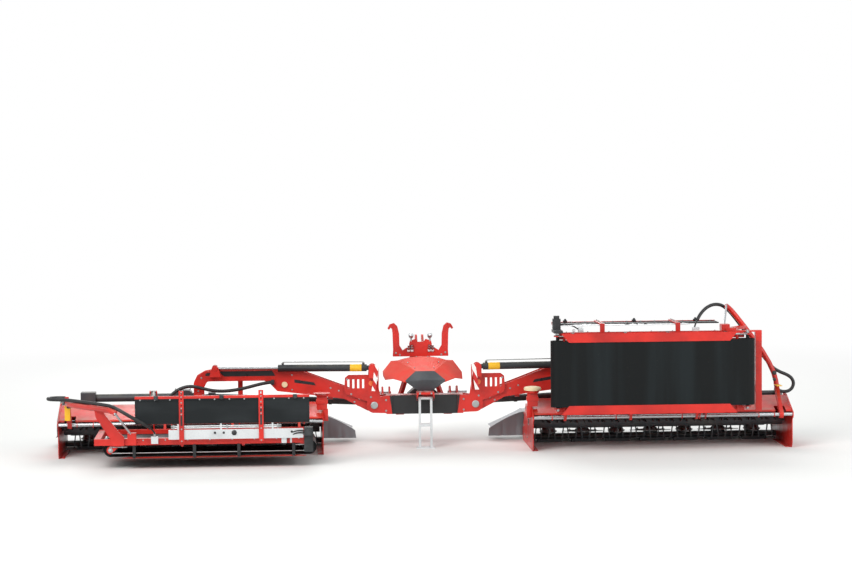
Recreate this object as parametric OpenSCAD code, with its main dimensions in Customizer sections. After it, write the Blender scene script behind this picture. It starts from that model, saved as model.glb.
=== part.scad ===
// Rear-mounted twin-wing disc mower conditioner with cross conveyor belts.
// Millimetres. X to the machine's right, Y forward, Z up. Z = 0 is the ground.
// The left belt is lowered behind its mower, the right belt is swung up.
// Every side part is drawn for the right side, and mirrored for the left.

/* [Layout] */
// Distance from the centreline to the middle of a mower unit
unit_x = 2830; // [2800:5:2860]
// Width of one mower unit over its end plates
unit_w = 3150; // [3130:5:3170]
// Distance from the centreline to a fold hinge
fold_x = 620; // [610:5:630]
// Height of the fold hinges
fold_z = 520; // [515:1:525]
// Distance from the centreline to the tilt pivot at an arm's outer end
tilt_x = 2750; // [2740:5:2760]
// Height of the tilt pivots
tilt_z = 615; // [612:1:618]
// Fore-aft place of the arms and their pivots
arm_y = 520; // [518:1:522]
// Fore-aft place of the cutting discs and driveshafts
disc_y = 790; // [785:1:795]
// Fore-aft place of the conditioner rotors
rotor_y = 190; // [185:1:195]
// Height of the conditioner rotors
rotor_z = 320; // [318:1:324]
// Fore-aft place of the belt hinges
belt_y = -310; // [-315:1:-305]
// Height of the belt hinges
belt_z = 410; // [405:1:415]
// Fore-aft place of the lower link pins
hitch_y = 1580; // [1575:1:1585]

/* [Hitch] */
// Height of the lower link pins as the machine stands
link_z = 555; // [550:5:565]
// Shoulder of a lower link pin, from the centreline
link_x = 482.5; // [480:0.5:485]
// Diameter of a lower link pin
link_d = 36.6; // [36.4:0.1:37]
// Height of the top link hole
top_z = 1240; // [1235:5:1250]
// Diameter of the top link hole
top_d = 32; // [31.8:0.1:32.4]
// Clear gap between the top link ears
top_gap = 56; // [52:1:60]
// Diameter of the drive stub
stub_d = 44.4; // [44:0.1:45]

/* [Arm] */
// Width of an arm between its side plates
arm_w = 150; // [140:2:156]
// Thickness of an arm's side plates
arm_plate = 12; // [10:1:14]
// Diameter of a fold pin
fold_pin_d = 60; // [58:1:64]
// Diameter of a tilt pin
tilt_pin_d = 50; // [48:1:54]

/* [Fold cylinder] */
// Fore-aft place of the fold cylinders
ram_y = 340; // [339:1:341]
// Distance from the centreline to a cylinder's base pin
ram_base_x = 640; // [636:1:644]
// Height of a cylinder's base pin and of its rod's eye
ram_base_z = 985; // [983:1:988]
// Distance from the centreline to a rod's eye
ram_eye_x = 2550; // [2545:1:2555]
// Height of a rod's eye
ram_eye_z = 1002; // [1000:1:1006]
// Outer diameter of a barrel
ram_d = 88; // [84:1:90]
// Diameter of a rod
rod_d = 50; // [46:1:52]
// Distance from the base pin to the barrel's gland end
barrel_len = 1150; // [1120:5:1180]

/* [Cutterbar] */
// Number of cutting discs on a unit
disc_count = 7; // [7:1:7]
// Distance between disc centres
disc_pitch = 425; // [423:1:426]
// Radius of the circle that the knife tips run on
tip_r = 255; // [248:1:256]
// Height of the underside of a disc's plate
disc_z = 118; // [117:1:120]

/* [Conditioner] */
// Radius of the circle that the tine tips run on
tine_r = 240; // [232:1:242]
// Diameter of the rotor's tube
rotor_d = 168; // [160:2:180]
// Number of tine rows around the rotor
tine_rows = 4; // [4:1:4]
// Tines in each row
tine_count = 18; // [14:1:20]

/* [Conveyor] */
// Length of a belt over its end rollers
belt_len = 2430; // [2400:5:2450]
// Inner end of a belt from the centreline
belt_in = 1365; // [1360:1:1375]
// Diameter of the end rollers
roller_d = 150; // [146:1:152]
// Thickness of a belt
belt_t = 10; // [8:1:11]
// Front edge of a belt, from its hinge
belt_front = 150; // [145:1:155]
// Rear edge of a belt, from its hinge
belt_rear = 940; // [930:1:950]
// Depth of the belt's rollers under the hinge
belt_drop = 185; // [182:1:188]

/* [Hidden] */
$fn = 48;
// Columns: name, side, belt shift outboard, belt raise at rest in degrees
SIDES = [["left", -1, 0, 0], ["right", 1, 95, 90]];
NAME = 0;
SIGN = 1;
SHIFT = 2;
RAISE = 3;

// Columns: name of a node that each side has one of
SIDE_NODES = ["arm", "driveshaft", "fold_barrel", "fold_rod", "mower_frame", "cover_frame",
    "cutterbar", "conditioner_hood", "side_gearbox", "curtain", "conditioner_rotor",
    "conveyor_frame", "belt", "deflector", "belt_motor", "lift_arm", "lift_barrel", "lift_rod",
    "hoses"];
CENTRE_NODES = ["headstock", "hose_rack", "link_pins", "centre_gearbox", "hood",
    "hood_nose", "marker_plates", "park_stand"];

red = "firebrick";
dark = "dimgray";
black = "#202224";
steel = "silver";
zinc = "lightgray";

// Running clearance on the diameter of a pin
run = 0.12;
// Side clearance at a hinge
side_gap = 5;
// Ends of a mower unit
unit_in = unit_x - unit_w / 2;
unit_out = unit_x + unit_w / 2;
end_t = 10;
// Half length of an arm's hinge eyes, and thickness of the fork plates beside them
eye_half = 100;
fork_t = 25;
// Bounds of the main frame beam of a unit
beam_y = [440, 600];
beam_z = [385, 490];
// Height of the crop cover over the discs
cover_z = 350;
hood_r = 268;
hood_t = 6;

function reversed(p) = [for (i = [len(p) - 1:-1:0]) p[i]];
function last(p) = p[len(p) - 1];

// Draws right-side shapes on a row of the side table
module on_side(s) {
    mirror([s[SIGN] < 0 ? 1 : 0, 0, 0]) children();
}

// Shapes of the lowered belt unit, taken to its pose at rest
module belt_pose(s) {
    on_side(s) translate([s[SHIFT], belt_y, belt_z]) rotate([-s[RAISE], 0, 0]) children();
}

// A solid of an XZ outline between two fore-aft places
module xz(y0, y1) {
    translate([0, y1, 0]) rotate([90, 0, 0]) linear_extrude(y1 - y0) children();
}

// A solid of a YZ outline between two sideways places
module yz(x0, x1) {
    translate([x0, 0, 0]) rotate([90, 0, 90]) linear_extrude(x1 - x0) children();
}

// A block between two corners
module block(a, b) {
    translate(a) cube(b - a);
}

// A round bar between two points
module bar(a, b, d) {
    v = b - a;
    translate(a) rotate([0, acos(v[2] / norm(v)), atan2(v[1], v[0])]) cylinder(d = d, h = norm(v));
}

// A square beam between two points
module beam(a, b, w) {
    v = b - a;
    translate(a) rotate([0, acos(v[2] / norm(v)), atan2(v[1], v[0])])
        translate([-w / 2, -w / 2, 0]) cube([w, w, norm(v)]);
}

// A round bar along X, and one along Y
module bar_x(x0, x1, y, z, d) {
    translate([x0, y, z]) rotate([0, 90, 0]) cylinder(d = d, h = x1 - x0);
}
module bar_y(y0, y1, x, z, d) {
    translate([x, y1, z]) rotate([90, 0, 0]) cylinder(d = d, h = y1 - y0);
}

// A flat strip of one width along a path, with round ends
module strip(path, w) {
    offset(r = w / 2) polygon(concat(path, [for (p = reversed(path)) p + [0.05, 0.05]]));
}

// An outline with its outer corners rounded
module rounded(r) {
    offset(r = r) offset(delta = -r) children();
}

// A tube swept along a path
function ring(path, i, r, n) =
    let (a = path[max(i - 1, 0)], b = path[min(i + 1, len(path) - 1)],
        t = (b - a) / norm(b - a), k = abs(t[0]) < 0.9 ? [1, 0, 0] : [0, 0, 1],
        u = cross(t, k) / norm(cross(t, k)), v = cross(t, u))
    [for (j = [0:n - 1]) path[i] + r * (cos(360 * j / n) * u + sin(360 * j / n) * v)];
function smooth(p, k) = [for (i = [0:len(p) - 2]) for (j = [0:k - 1])
        let (t = j / k, a = p[max(i - 1, 0)], b = p[i], c = p[i + 1], d = p[min(i + 2, len(p) - 1)])
        0.5 * (2 * b + (c - a) * t + (2 * a - 5 * b + 4 * c - d) * t * t
            + (3 * b - a - 3 * c + d) * t * t * t)];
module sweep(points, d, n = 8, steps = 3) {
    path = concat(smooth(points, steps), [last(points)]);
    m = len(path);
    polyhedron(
        [for (i = [0:m - 1]) each ring(path, i, d / 2, n)],
        concat([[for (j = [0:n - 1]) j]],
            [for (i = [0:m - 2]) for (j = [0:n - 1])
                [i * n + j, (i + 1) * n + j, (i + 1) * n + (j + 1) % n, i * n + (j + 1) % n]],
            [[for (j = [n - 1:-1:0]) (m - 1) * n + j]]));
}

// Headstock: the cross beam that carries both arms, and the beams forward to the hitch
cross_half = 470;
cross_y = [420, 620];
cross_z = [405, 635];
rail_x = [245, 345];
rail_z = [375, 455];
front_y = [1330, 1430];
front_z = [375, 505];
drive_z = 560;

module fold_fork_outline() {
    difference() {
        union() {
            hull() {
                translate([fold_x, fold_z]) circle(r = 95);
                translate([430, 420]) square([40, 215]);
            }
            // Stem and lug for the fold cylinder
            polygon([[540, 600], [590, 900], [600, 985], [680, 985], [690, 930], [700, 560]]);
            translate([ram_base_x, ram_base_z]) circle(r = 48);
            // Slotted guard beside the hinge
            rounded(20) polygon([[600, 560], [690, 560], [965, 660], [985, 700], [975, 860],
                    [930, 895], [700, 895], [640, 860]]);
        }
        for (x = [740, 800, 860, 920]) translate([x, 730]) square([26, 110]);
        translate([fold_x, fold_z]) circle(d = fold_pin_d - 1);
        translate([ram_base_x, ram_base_z]) circle(d = 39);
    }
}

module fold_fork() {
    rear = arm_y - eye_half - side_gap;
    front = arm_y + eye_half + side_gap;
    xz(rear - fork_t, rear) fold_fork_outline();
    xz(front, front + fork_t) hull() {
        translate([fold_x, fold_z]) circle(r = 95);
        translate([430, 420]) square([40, 215]);
    }
    bar_y(rear - fork_t - 12, front + fork_t + 12, fold_x, fold_z, fold_pin_d);
    // Rear lug of the fold cylinder and its foot
    xz(280, 300) {
        translate([ram_base_x, ram_base_z]) circle(r = 48);
        polygon([[600, 860], [592, 985], [688, 985], [690, 860]]);
    }
    block([600, 290, 860], [690, rear - fork_t / 2, 885]);
    bar_y(276, rear - 2, ram_base_x, ram_base_z, 40);
}

// Cheeks of the lower links and ears of the top link
front_tip = 1642;
module cheek_outline() {
    rounded(18) polygon([[1330, 380], [1560, 470], [front_tip, 520], [front_tip, 590],
            [1590, 625], [1500, 640], [1400, 560], [1330, 560]]);
}
module mast_outline() {
    difference() {
        rounded(15) polygon([[1335, 400], [1428, 400], [1560, 1170], [1625, 1225], [1625, 1255],
                [1590, 1290], [1510, 1290], [1440, 1240], [1345, 1180]]);
        rounded(12) polygon([[1372, 660], [1405, 660], [1480, 1080], [1385, 1080]]);
    }
}
module headstock() {
    color(red) difference() {
        union() {
            block([-cross_half, cross_y[0], cross_z[0]], [cross_half, cross_y[1], cross_z[1]]);
            for (s = SIDES) on_side(s) {
                fold_fork();
                // Gussets of the fork on the beam's end
                block([400, rear_fork() - fork_t, 410], [470, cross_y[0] + 10, 630]);
                block([400, cross_y[1] - 10, 410], [470, arm_y + eye_half + side_gap + fork_t, 630]);
                block([rail_x[0], cross_y[1] - 5, rail_z[0]], [rail_x[1], front_y[0] + 5, rail_z[1]]);
                block([rail_x[0], cross_y[1] - 5, rail_z[0]], [rail_x[1], cross_y[1] + 10, 440]);
                for (x = [link_x - 22, link_x - 110]) yz(x, x + 22) cheek_outline();
                yz(top_gap / 2, top_gap / 2 + 24) mast_outline();
                // Brace from the mast back to the frame
                beam([rail_x[0] + 50, 1240, 440], [60, 1412, 1120], 50);
            }
            block([-520, front_y[0], front_z[0]], [520, front_y[1], front_z[1]]);
            // Saddle of the drive shaft's bearing tube
            block([-70, front_y[0] + 15, front_z[1] - 5], [70, front_y[1] - 15, drive_z + 10]);
            block([-top_gap / 2 - 10, 1372, 1090], [top_gap / 2 + 10, 1400, 1170]);
            // Carrier of the parking stand, under the hood's nose
            difference() {
                block([-105, 205, 600], [105, cross_y[0] + 5, 686]);
                block([-90, 190, 585], [90, 330, 660]);
            }
            for (x = [-105, 90]) yz(x, x + 15) hull() {
                translate([stand_y, stand_z]) circle(r = 32);
                translate([stand_y - 40, 640]) square([90, 20]);
            }
            bar_x(-110, 110, stand_y, stand_z, 24);
        }
        bar_x(-200, 200, hitch_y, top_z, top_d);
        for (k = [-1, 1]) bar_x(k * 460 - 120, k * 460 + 120, hitch_y, link_z, link_d + run);
        bar_y(1200, 1500, 0, drive_z, 96 + run);
        bar_y(front_y[1] + 0.5, 1500, 0, drive_z, 132);
    }
}
function rear_fork() = arm_y - eye_half - side_gap;

// Rack of two hose hooks behind the mast
module hook_outline() {
    rounded(10) polygon([[190, 1040], [350, 1040], [344, 1120], [350, 1330], [356, 1385], [374, 1402],
            [392, 1376], [414, 1392], [384, 1446], [332, 1462], [290, 1422], [268, 1330],
            [264, 1180], [215, 1100]]);
}
module rack_outline() {
    rounded(8) polygon([[-5, 1040], [240, 1040], [232, 1112], [150, 1166], [132, 1236], [64, 1258],
            [40, 1222], [-5, 1222]]);
}
module hose_rack() {
    color(red) {
        for (s = SIDES) on_side(s) {
            xz(1225, 1249) hook_outline();
            xz(1228, 1250) rack_outline();
            block([30, 1249, 1040], [50, 1343, 1086]);
        }
    }
}

module link_pins() {
    color(steel) for (s = SIDES) on_side(s) {
        bar_x(link_x - 125, 605, hitch_y, link_z, link_d);
        bar_x(link_x, link_x + 10, hitch_y, link_z, 62);
    }
}

// Drive: gearbox, yokes and shafts
shaft_y = 800;
yoke_r = 52;
yoke_t = 14;
module yoke(sign, x, z) {
    // Fork with its arms fore and aft of a cross at x, opening away from the centreline for sign 1
    for (k = [-1, 1]) translate([x, shaft_y + k * (yoke_r - yoke_t / 2), z]) difference() {
        hull() {
            rotate([90, 0, 0]) cylinder(d = 46, h = yoke_t, center = true);
            translate([-sign * 72, 0, 0]) cube([24, yoke_t, 56], center = true);
        }
        rotate([90, 0, 0]) cylinder(d = 24 + run, h = 2 * yoke_t, center = true);
    }
    bar_x(x - (sign > 0 ? 96 : -72), x - (sign > 0 ? 72 : -96), shaft_y, z, 2 * yoke_r);
}
module spider(x, z) {
    bar_y(shaft_y - yoke_r - 4, shaft_y + yoke_r + 4, x, z, 24);
    translate([x, shaft_y, z - 28]) cylinder(d = 22, h = 56);
    translate([x, shaft_y, z]) cube([34, 34, 34], center = true);
}

module centre_gearbox() {
    color(dark) {
        xz(690, 910) rounded(25) polygon([[-190, 430], [190, 430], [205, 500], [190, 620],
                [110, 690], [-110, 690], [-190, 620], [-205, 500]]);
        for (s = SIDES) on_side(s) {
            bar_x(180, 300, shaft_y, fold_z, 126);
            bar_x(290, fold_x - 80, shaft_y, fold_z, 60);
            yoke(1, fold_x, fold_z);
            // Mounting feet on the frame's rails
            block([150, 715, rail_z[1]], [rail_x[1], 885, rail_z[1] + 22]);
        }
        bar_y(900, 1450, 0, drive_z, 96);
        bar_y(1440, hitch_y, 0, drive_z, stub_d);
        bar_y(front_y[1] + 1, 1452, 0, drive_z, 130);
    }
}

// Places along the arm of the driveshaft's hangers
HANGERS = [1150, 2250];
module driveshaft(s) {
    a = [fold_x, shaft_y, fold_z];
    b = [tilt_x, shaft_y, tilt_z];
    u = (b - a) / norm(b - a);
    color(black) on_side(s) {
        spider(fold_x, fold_z);
        spider(tilt_x, tilt_z);
        for (k = [[a, u], [b, -u]]) {
            // Forks above and below each cross
            for (z = [-1, 1]) hull() {
                translate(k[0] + [0, 0, z * 24]) cylinder(d = 34, h = 10, center = true);
                translate(k[0] + 84 * k[1] + [0, 0, z * 22]) cube([20, 34, 14], center = true);
            }
            bar(k[0] + 76 * k[1], k[0] + 120 * k[1], 70);
        }
        bar(a + 118 * u, b - 118 * u, 84);
        bar(a + 100 * u, a + 190 * u, 118);
        bar(b - 190 * u, b - 100 * u, 118);
        // Hangers from the shaft's guard to the arm
        for (x = HANGERS) {
            z = fold_z + (tilt_z - fold_z) * (x - fold_x) / (tilt_x - fold_x);
            bar_x(x - 20, x + 20, shaft_y, z, 100);
            block([x - 20, arm_y + arm_w / 2 + arm_plate, z + 20],
                [x + 20, shaft_y, z + 34]);
        }
    }
}

// Arm: a gooseneck box with proud side plates, a fold eye and a tilt eye
module arm_outline() {
    offset(r = 22) offset(delta = -22) offset(r = -40) offset(delta = 40) polygon([
            [fold_x - 20, 600], [700, 625], [985, 755], [1560, 972], [1640, 978], [2560, 978],
            [2680, 955], [2775, 900], [2815, 820], [2815, tilt_z], [2690, tilt_z], [2690, 760],
            [2650, 835], [1960, 835], [1900, 810], [1800, 705], [1500, 668], [985, 600],
            [700, 450], [fold_x, 440]]);
}
module arm(s) {
    half = arm_w / 2;
    color(red) on_side(s) difference() {
        union() {
            xz(arm_y - half, arm_y + half) offset(delta = -14) arm_outline();
            for (k = [-1, 1]) translate([0, k * (half + arm_plate / 2), 0])
                xz(arm_y - arm_plate / 2, arm_y + arm_plate / 2) arm_outline();
            bar_y(arm_y - eye_half, arm_y + eye_half, fold_x, fold_z, 172);
            bar_y(arm_y - eye_half, arm_y + eye_half, tilt_x, tilt_z, 140);
            // Boss through the thick part
            bar_y(arm_y - half - 30, arm_y + half + 30, 1710, 785, 66);
            // Bracket of the fold rod's eye
            block([ram_eye_x - 70, 286, 900], [ram_eye_x + 70, arm_y - half, 914]);
            for (y = [280, 382]) xz(y, y + 18) hull() {
                translate([ram_eye_x, ram_eye_z]) circle(r = 40);
                translate([ram_eye_x - 70, 900]) square([140, 14]);
            }
            for (y = [270, 398]) bar_y(y, y + 12, ram_eye_x, ram_eye_z, 52);
            // Ears for the driveshaft hangers
            for (x = HANGERS) block([x - 30, arm_y + half, fold_z + 60], [x + 30,
                    arm_y + half + arm_plate, x > 2000 ? 860 : 720]);
        }
        bar_y(arm_y - 300, arm_y + 300, fold_x, fold_z, fold_pin_d + run);
        bar_y(arm_y - 300, arm_y + 300, tilt_x, tilt_z, tilt_pin_d + run);
    }
}

// Fold cylinder: barrel on the headstock, rod with its eye at the arm
ram_v = [ram_eye_x - ram_base_x, 0, ram_eye_z - ram_base_z];
ram_u = ram_v / norm(ram_v);
ram_a = [ram_base_x, ram_y, ram_base_z];
ram_b = [ram_eye_x, ram_y, ram_eye_z];

module fold_barrel(s) {
    color(dark) on_side(s) difference() {
        union() {
            bar_y(ram_y - 30, ram_y + 30, ram_base_x, ram_base_z, 76);
            bar(ram_a + 30 * ram_u, ram_a + 75 * ram_u, 60);
            bar(ram_a + 70 * ram_u, ram_a + barrel_len * ram_u, ram_d);
            // Oil ports
            for (k = [110, barrel_len - 60]) bar(ram_a + k * ram_u, ram_a + k * ram_u + [0, 0, 62], 30);
        }
        bar_y(ram_y - 60, ram_y + 60, ram_base_x, ram_base_z, 40 + run);
        bar(ram_a + 140 * ram_u, ram_a + (barrel_len - 60) * ram_u, ram_d - 16);
        bar(ram_a + (barrel_len - 70) * ram_u, ram_a + (barrel_len + 20) * ram_u, rod_d + run);
    }
}
module fold_rod(s) {
    color(steel) on_side(s) {
        bar_y(ram_y - 30, ram_y + 30, ram_eye_x, ram_eye_z, 72);
        bar_y(ram_y - 36, ram_y + 36, ram_eye_x, ram_eye_z, 34);
        bar(ram_a + (barrel_len - 150) * ram_u, ram_b - 20 * ram_u, rod_d);
        bar(ram_a + (barrel_len - 180) * ram_u, ram_a + (barrel_len - 110) * ram_u, ram_d - 17);
    }
}

// Mower frame: beam, end plates with runners, fork of the tilt pivot and belt hinge tube
module end_outline() {
    // Low under the arm, and where the fold cylinder stands when the wing is up
    rounded(20) polygon([[-285, 70], [-240, 0], [930, 0], [1010, 50], [1010, 130], [860, 250],
            [640, 470], [610, 492], [285, 492], [262, 620], [80, 620], [-200, 500], [-300, 460],
            [-345, 440], [-345, 380], [-285, 350]]);
}
STAYS = [1480, 2250, 3050, 3980, 4170];
function hood_under(y) = hood_rear[1] + (rotor_z + hood_r - hood_rear[1])
    * (y - hood_rear[0]) / (rotor_y - hood_rear[0]) - 0.5;
module mower_frame(s) {
    rear = arm_y - eye_half - side_gap;
    front = arm_y + eye_half + side_gap;
    color(red) on_side(s) {
        block([unit_in + 5, beam_y[0], beam_z[0]], [unit_out - 5, beam_y[1], beam_z[1]]);
        for (x = [unit_in, unit_out - end_t]) yz(x, x + end_t) difference() {
            end_outline();
            translate([rotor_y, rotor_z]) circle(d = 60 + run, $fn = 64);
        }
        // Runners under the end plates
        for (x = [unit_in, unit_out - 70]) block([x, -200, 0], [x + 70, 560, 12]);
        // Fork of the tilt pivot, cut clear of the tine tips
        difference() {
            union() {
                for (y = [rear - fork_t, front]) xz(y, y + fork_t) hull() {
                    translate([tilt_x, tilt_z]) circle(r = 72);
                    translate([tilt_x - 190, beam_z[1] - 40]) square([380, 40]);
                }
                for (y = [[rear - fork_t, beam_y[0] + 5], [beam_y[1] - 5, front + fork_t]])
                    block([tilt_x - 190, y[0], beam_z[1] - 40], [tilt_x + 190, y[1], beam_z[1]]);
            }
            bar_x(tilt_x - 200, tilt_x + 200, rotor_y, rotor_z, 2 * tine_r + 24);
        }
        bar_y(rear - fork_t - 10, front + fork_t + 10, tilt_x, tilt_z, tilt_pin_d);
        // Tube that the belt unit swings on, with its stays
        bar_x(unit_in + 2, unit_out - 2, belt_y, belt_z, 42);
        for (x = STAYS) yz(x, x + 10) polygon([[belt_y - 30, belt_z - 24], [belt_y + 20, belt_z - 34],
                [-110, 440], [-110, hood_under(-110)], [-250, hood_under(-250)],
                [-262, 436], [belt_y - 20, belt_z + 24]]);
        // Base of the lift cylinder
        for (x = [lift_x - 45, lift_x + 33]) yz(x, x + 12) difference() {
            hull() {
                translate(lift_base) circle(r = 26);
                translate([400, beam_z[1] - 10]) square([180, 12]);
            }
            translate([rotor_y, rotor_z]) circle(r = hood_r + hood_t + 2);
            translate([380, 0]) square([beam_y[0] - 380, beam_z[1]]);
        }
        bar_x(lift_x - 48, lift_x + 48, lift_base[0], lift_base[1], 25);
    }
}

// Tube frame under the crop cover, on lugs against the beam
module cover_frame(s) {
    lug_x = [unit_in + 30, unit_x - 500, unit_x + 500, unit_out - 30];
    color(red) on_side(s) {
        bar_x(unit_in + end_t, unit_out - end_t, 720, cover_z - 24, 34);
        bar_x(unit_in + 20, unit_out - 20, 1385, cover_z - 24, 34);
        for (x = lug_x) {
            bar_y(beam_y[1] - 5, 1385, x, cover_z - 24, 34);
            block([x - 17, beam_y[1] - 20, cover_z - 40], [x + 17, beam_y[1] + 12, beam_z[0]]);
            block([x - 17, beam_y[1], beam_z[0] - 5], [x + 17, beam_y[1] + 12, beam_z[0] + 20]);
        }
    }
}

// Cutterbar: flat oil-bath housing with hubs and skids
module cutterbar(s) {
    color(dark) on_side(s) {
        yz(unit_in + end_t, unit_out - end_t) rounded(12) polygon([[690, 36], [860, 36], [905, 52],
                [905, 70], [860, 88], [690, 88], [670, 62]]);
        for (i = [1:disc_count]) translate([disc_x(i), disc_y, 0]) {
            translate([0, 0, 30]) cylinder(d = 176, h = disc_z - 42);
            translate([0, 0, 30]) cylinder(d = 60, h = disc_z - 36);
            // Skid under the disc
            linear_extrude(37) hull() {
                translate([0, 60]) circle(r = 125);
                translate([-150, -140]) square([300, 60]);
            }
        }
    }
}
function disc_x(i) = unit_x + (i - (disc_count + 1) / 2) * disc_pitch;

// Cutting disc: oval plate, domed hub and two swinging knives; the end discs carry a drum
// Columns: disc number, drum height over the plate
DRUMS = [[1, 180], [7, 180]];
function drum(i) = [for (d = DRUMS) if (d[0] == i) d[1]];
module disc(s, i) {
    color(steel) on_side(s) translate([disc_x(i), disc_y, disc_z]) rotate([0, 0, i % 2 * 90]) {
        linear_extrude(8) hull() {
            circle(r = 108);
            for (k = [-1, 1]) translate([k * 118, 0]) circle(r = 72);
        }
        rotate_extrude() polygon([[0, 6], [96, 6], [84, 30], [52, 48], [0, 52]]);
        for (k = [-1, 1]) {
            translate([k * 160, 0, -6]) cylinder(d = 30, h = 24);
            linear_extrude(4) translate([k > 0 ? 140 : -tip_r, -22]) square([tip_r - 140, 44]);
        }
        for (h = drum(i)) rotate_extrude() polygon([[0, 7], [92, 7], [74, h * 0.4], [74, h], [0, h]]);
    }
}

// Conditioner hood: sheet that curves over the rotor and runs down to an open rear
hood_rear = [-258, 455];
hood_front_a = 21.3;
function arc(c, r, a0, a1, n) = [for (i = [0:n]) let (a = a0 + (a1 - a0) * i / n)
        c + r * [cos(a), sin(a)]];
module conditioner_hood(s) {
    c = [rotor_y, rotor_z];
    color(red) on_side(s) difference() {
        yz(unit_in + end_t, unit_out - end_t) polygon(concat(
                [[beam_y[0], c[1] + hood_r * sin(hood_front_a)]],
                [[beam_y[0], c[1] + hood_r * sin(hood_front_a) + 12]],
                arc(c, hood_r + hood_t, hood_front_a + 3.2, 90, 14), [hood_rear + [0, hood_t]],
                [hood_rear + [-18, -12]], [hood_rear + [-14, -16]], [hood_rear],
                arc(c, hood_r, 90, hood_front_a, 14)));
        // Notches where the lift lever and the lift arm swing
        for (x = [lift_x, arm_x]) block([x - 65, -400, 300], [x + 65, -140, 700]);
        // Notch at the inner end, where the fold cylinder stands when the wing is up
        block([unit_in, 282, 400], [unit_in + 165, 398, 700]);
        // Opening round the fork of the tilt pivot
        block([tilt_x - 192, rear_fork() - fork_t - 2, 380], [tilt_x + 192, 460, 700]);
    }
}

// Rotor with V tines standing in staggered rows
module tine() {
    // Forked finger in the plane across the rotor
    rotate([90, 0, 90]) translate([0, 0, -6]) linear_extrude(12)
        polygon([[-16, rotor_d / 2 - 8], [16, rotor_d / 2 - 8], [15, tine_r - 70], [-2, tine_r],
                [-16, tine_r - 3], [-6, tine_r - 72]]);
}
module conditioner_rotor(s) {
    from = unit_in + 70;
    span = unit_w - 140;
    color(dark) on_side(s) translate([0, rotor_y, rotor_z]) {
        bar_x(from - 30, from + span + 30, 0, 0, rotor_d);
        bar_x(unit_in - 6, unit_out - 0.5, 0, 0, 60);
        for (r = [0:tine_rows - 1]) for (k = [0:tine_count - 1])
            translate([from + span * (k + 0.5 + (r % 2) / 2 - 0.25) / tine_count, 0, 0])
                rotate([360 * r / tine_rows, 0, 0])
                    for (v = [-1, 1]) translate([v * 14, 0, 0]) rotate([0, v * 7, 0]) tine();
    }
}

// Drive of a unit: bevel box behind the tilt pivot, shaft guard, drum gearbox and rotor drive guard
module side_gearbox(s) {
    bx = tilt_x + 96;
    color(dark) on_side(s) {
        yoke(-1, tilt_x, tilt_z);
        xz(700, 890) rounded(18) polygon([[bx, 545], [bx + 230, 545], [bx + 230, 680],
                [bx + 190, 705], [bx + 40, 705], [bx, 680]]);
        block([bx + 100, beam_y[1], 450], [bx + 225, 720, 560]);
        bar_x(bx + 220, unit_out - 370, shaft_y, tilt_z, 96);
        // Box over the outer disc, on a stand from the beam
        block([unit_out - 380, 700, 430], [unit_out - 200, 880, 690]);
        block([unit_out - 360, beam_y[1], 440], [unit_out - 220, 710, 480]);
        translate([disc_x(disc_count), disc_y, disc_z + 188]) cylinder(d = 62, h = 130);
        bar_x(unit_out - 210, unit_out + 5, shaft_y, 560, 60);
        yz(unit_out + 0.5, unit_out + 42) hull() {
            translate([shaft_y, 560]) circle(r = 85);
            translate([rotor_y, rotor_z]) circle(r = 110);
        }
    }
}

// Crop cover: one sheet over the tube frame that hangs down in front and at the ends
module curtain(s) {
    color("darkred") on_side(s) difference() {
        union() {
            yz(unit_in + 12, unit_out - 12) {
                polygon([[640, cover_z], [1400, cover_z], [1430, cover_z - 20], [1440, 90],
                        [1432, 90], [1422, cover_z - 24], [1397, cover_z - 7], [640, cover_z - 7]]);
            }
            // Flaps that hang outward at the front corners
            for (m = [0, 1]) translate([m * 2 * unit_x, 0, 0]) mirror([m, 0, 0])
                xz(1020, 1434) polygon([[unit_in + 11, cover_z], [unit_in + 18, cover_z],
                        [unit_in - 133, 95], [unit_in - 140, 95]]);
        }
        block([unit_x - 5000, 0, cover_z - 40], [unit_x + 5000, 642, cover_z + 20]);
        translate([disc_x(disc_count), disc_y, 200]) cylinder(d = 90, h = 300);
    }
}

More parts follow.
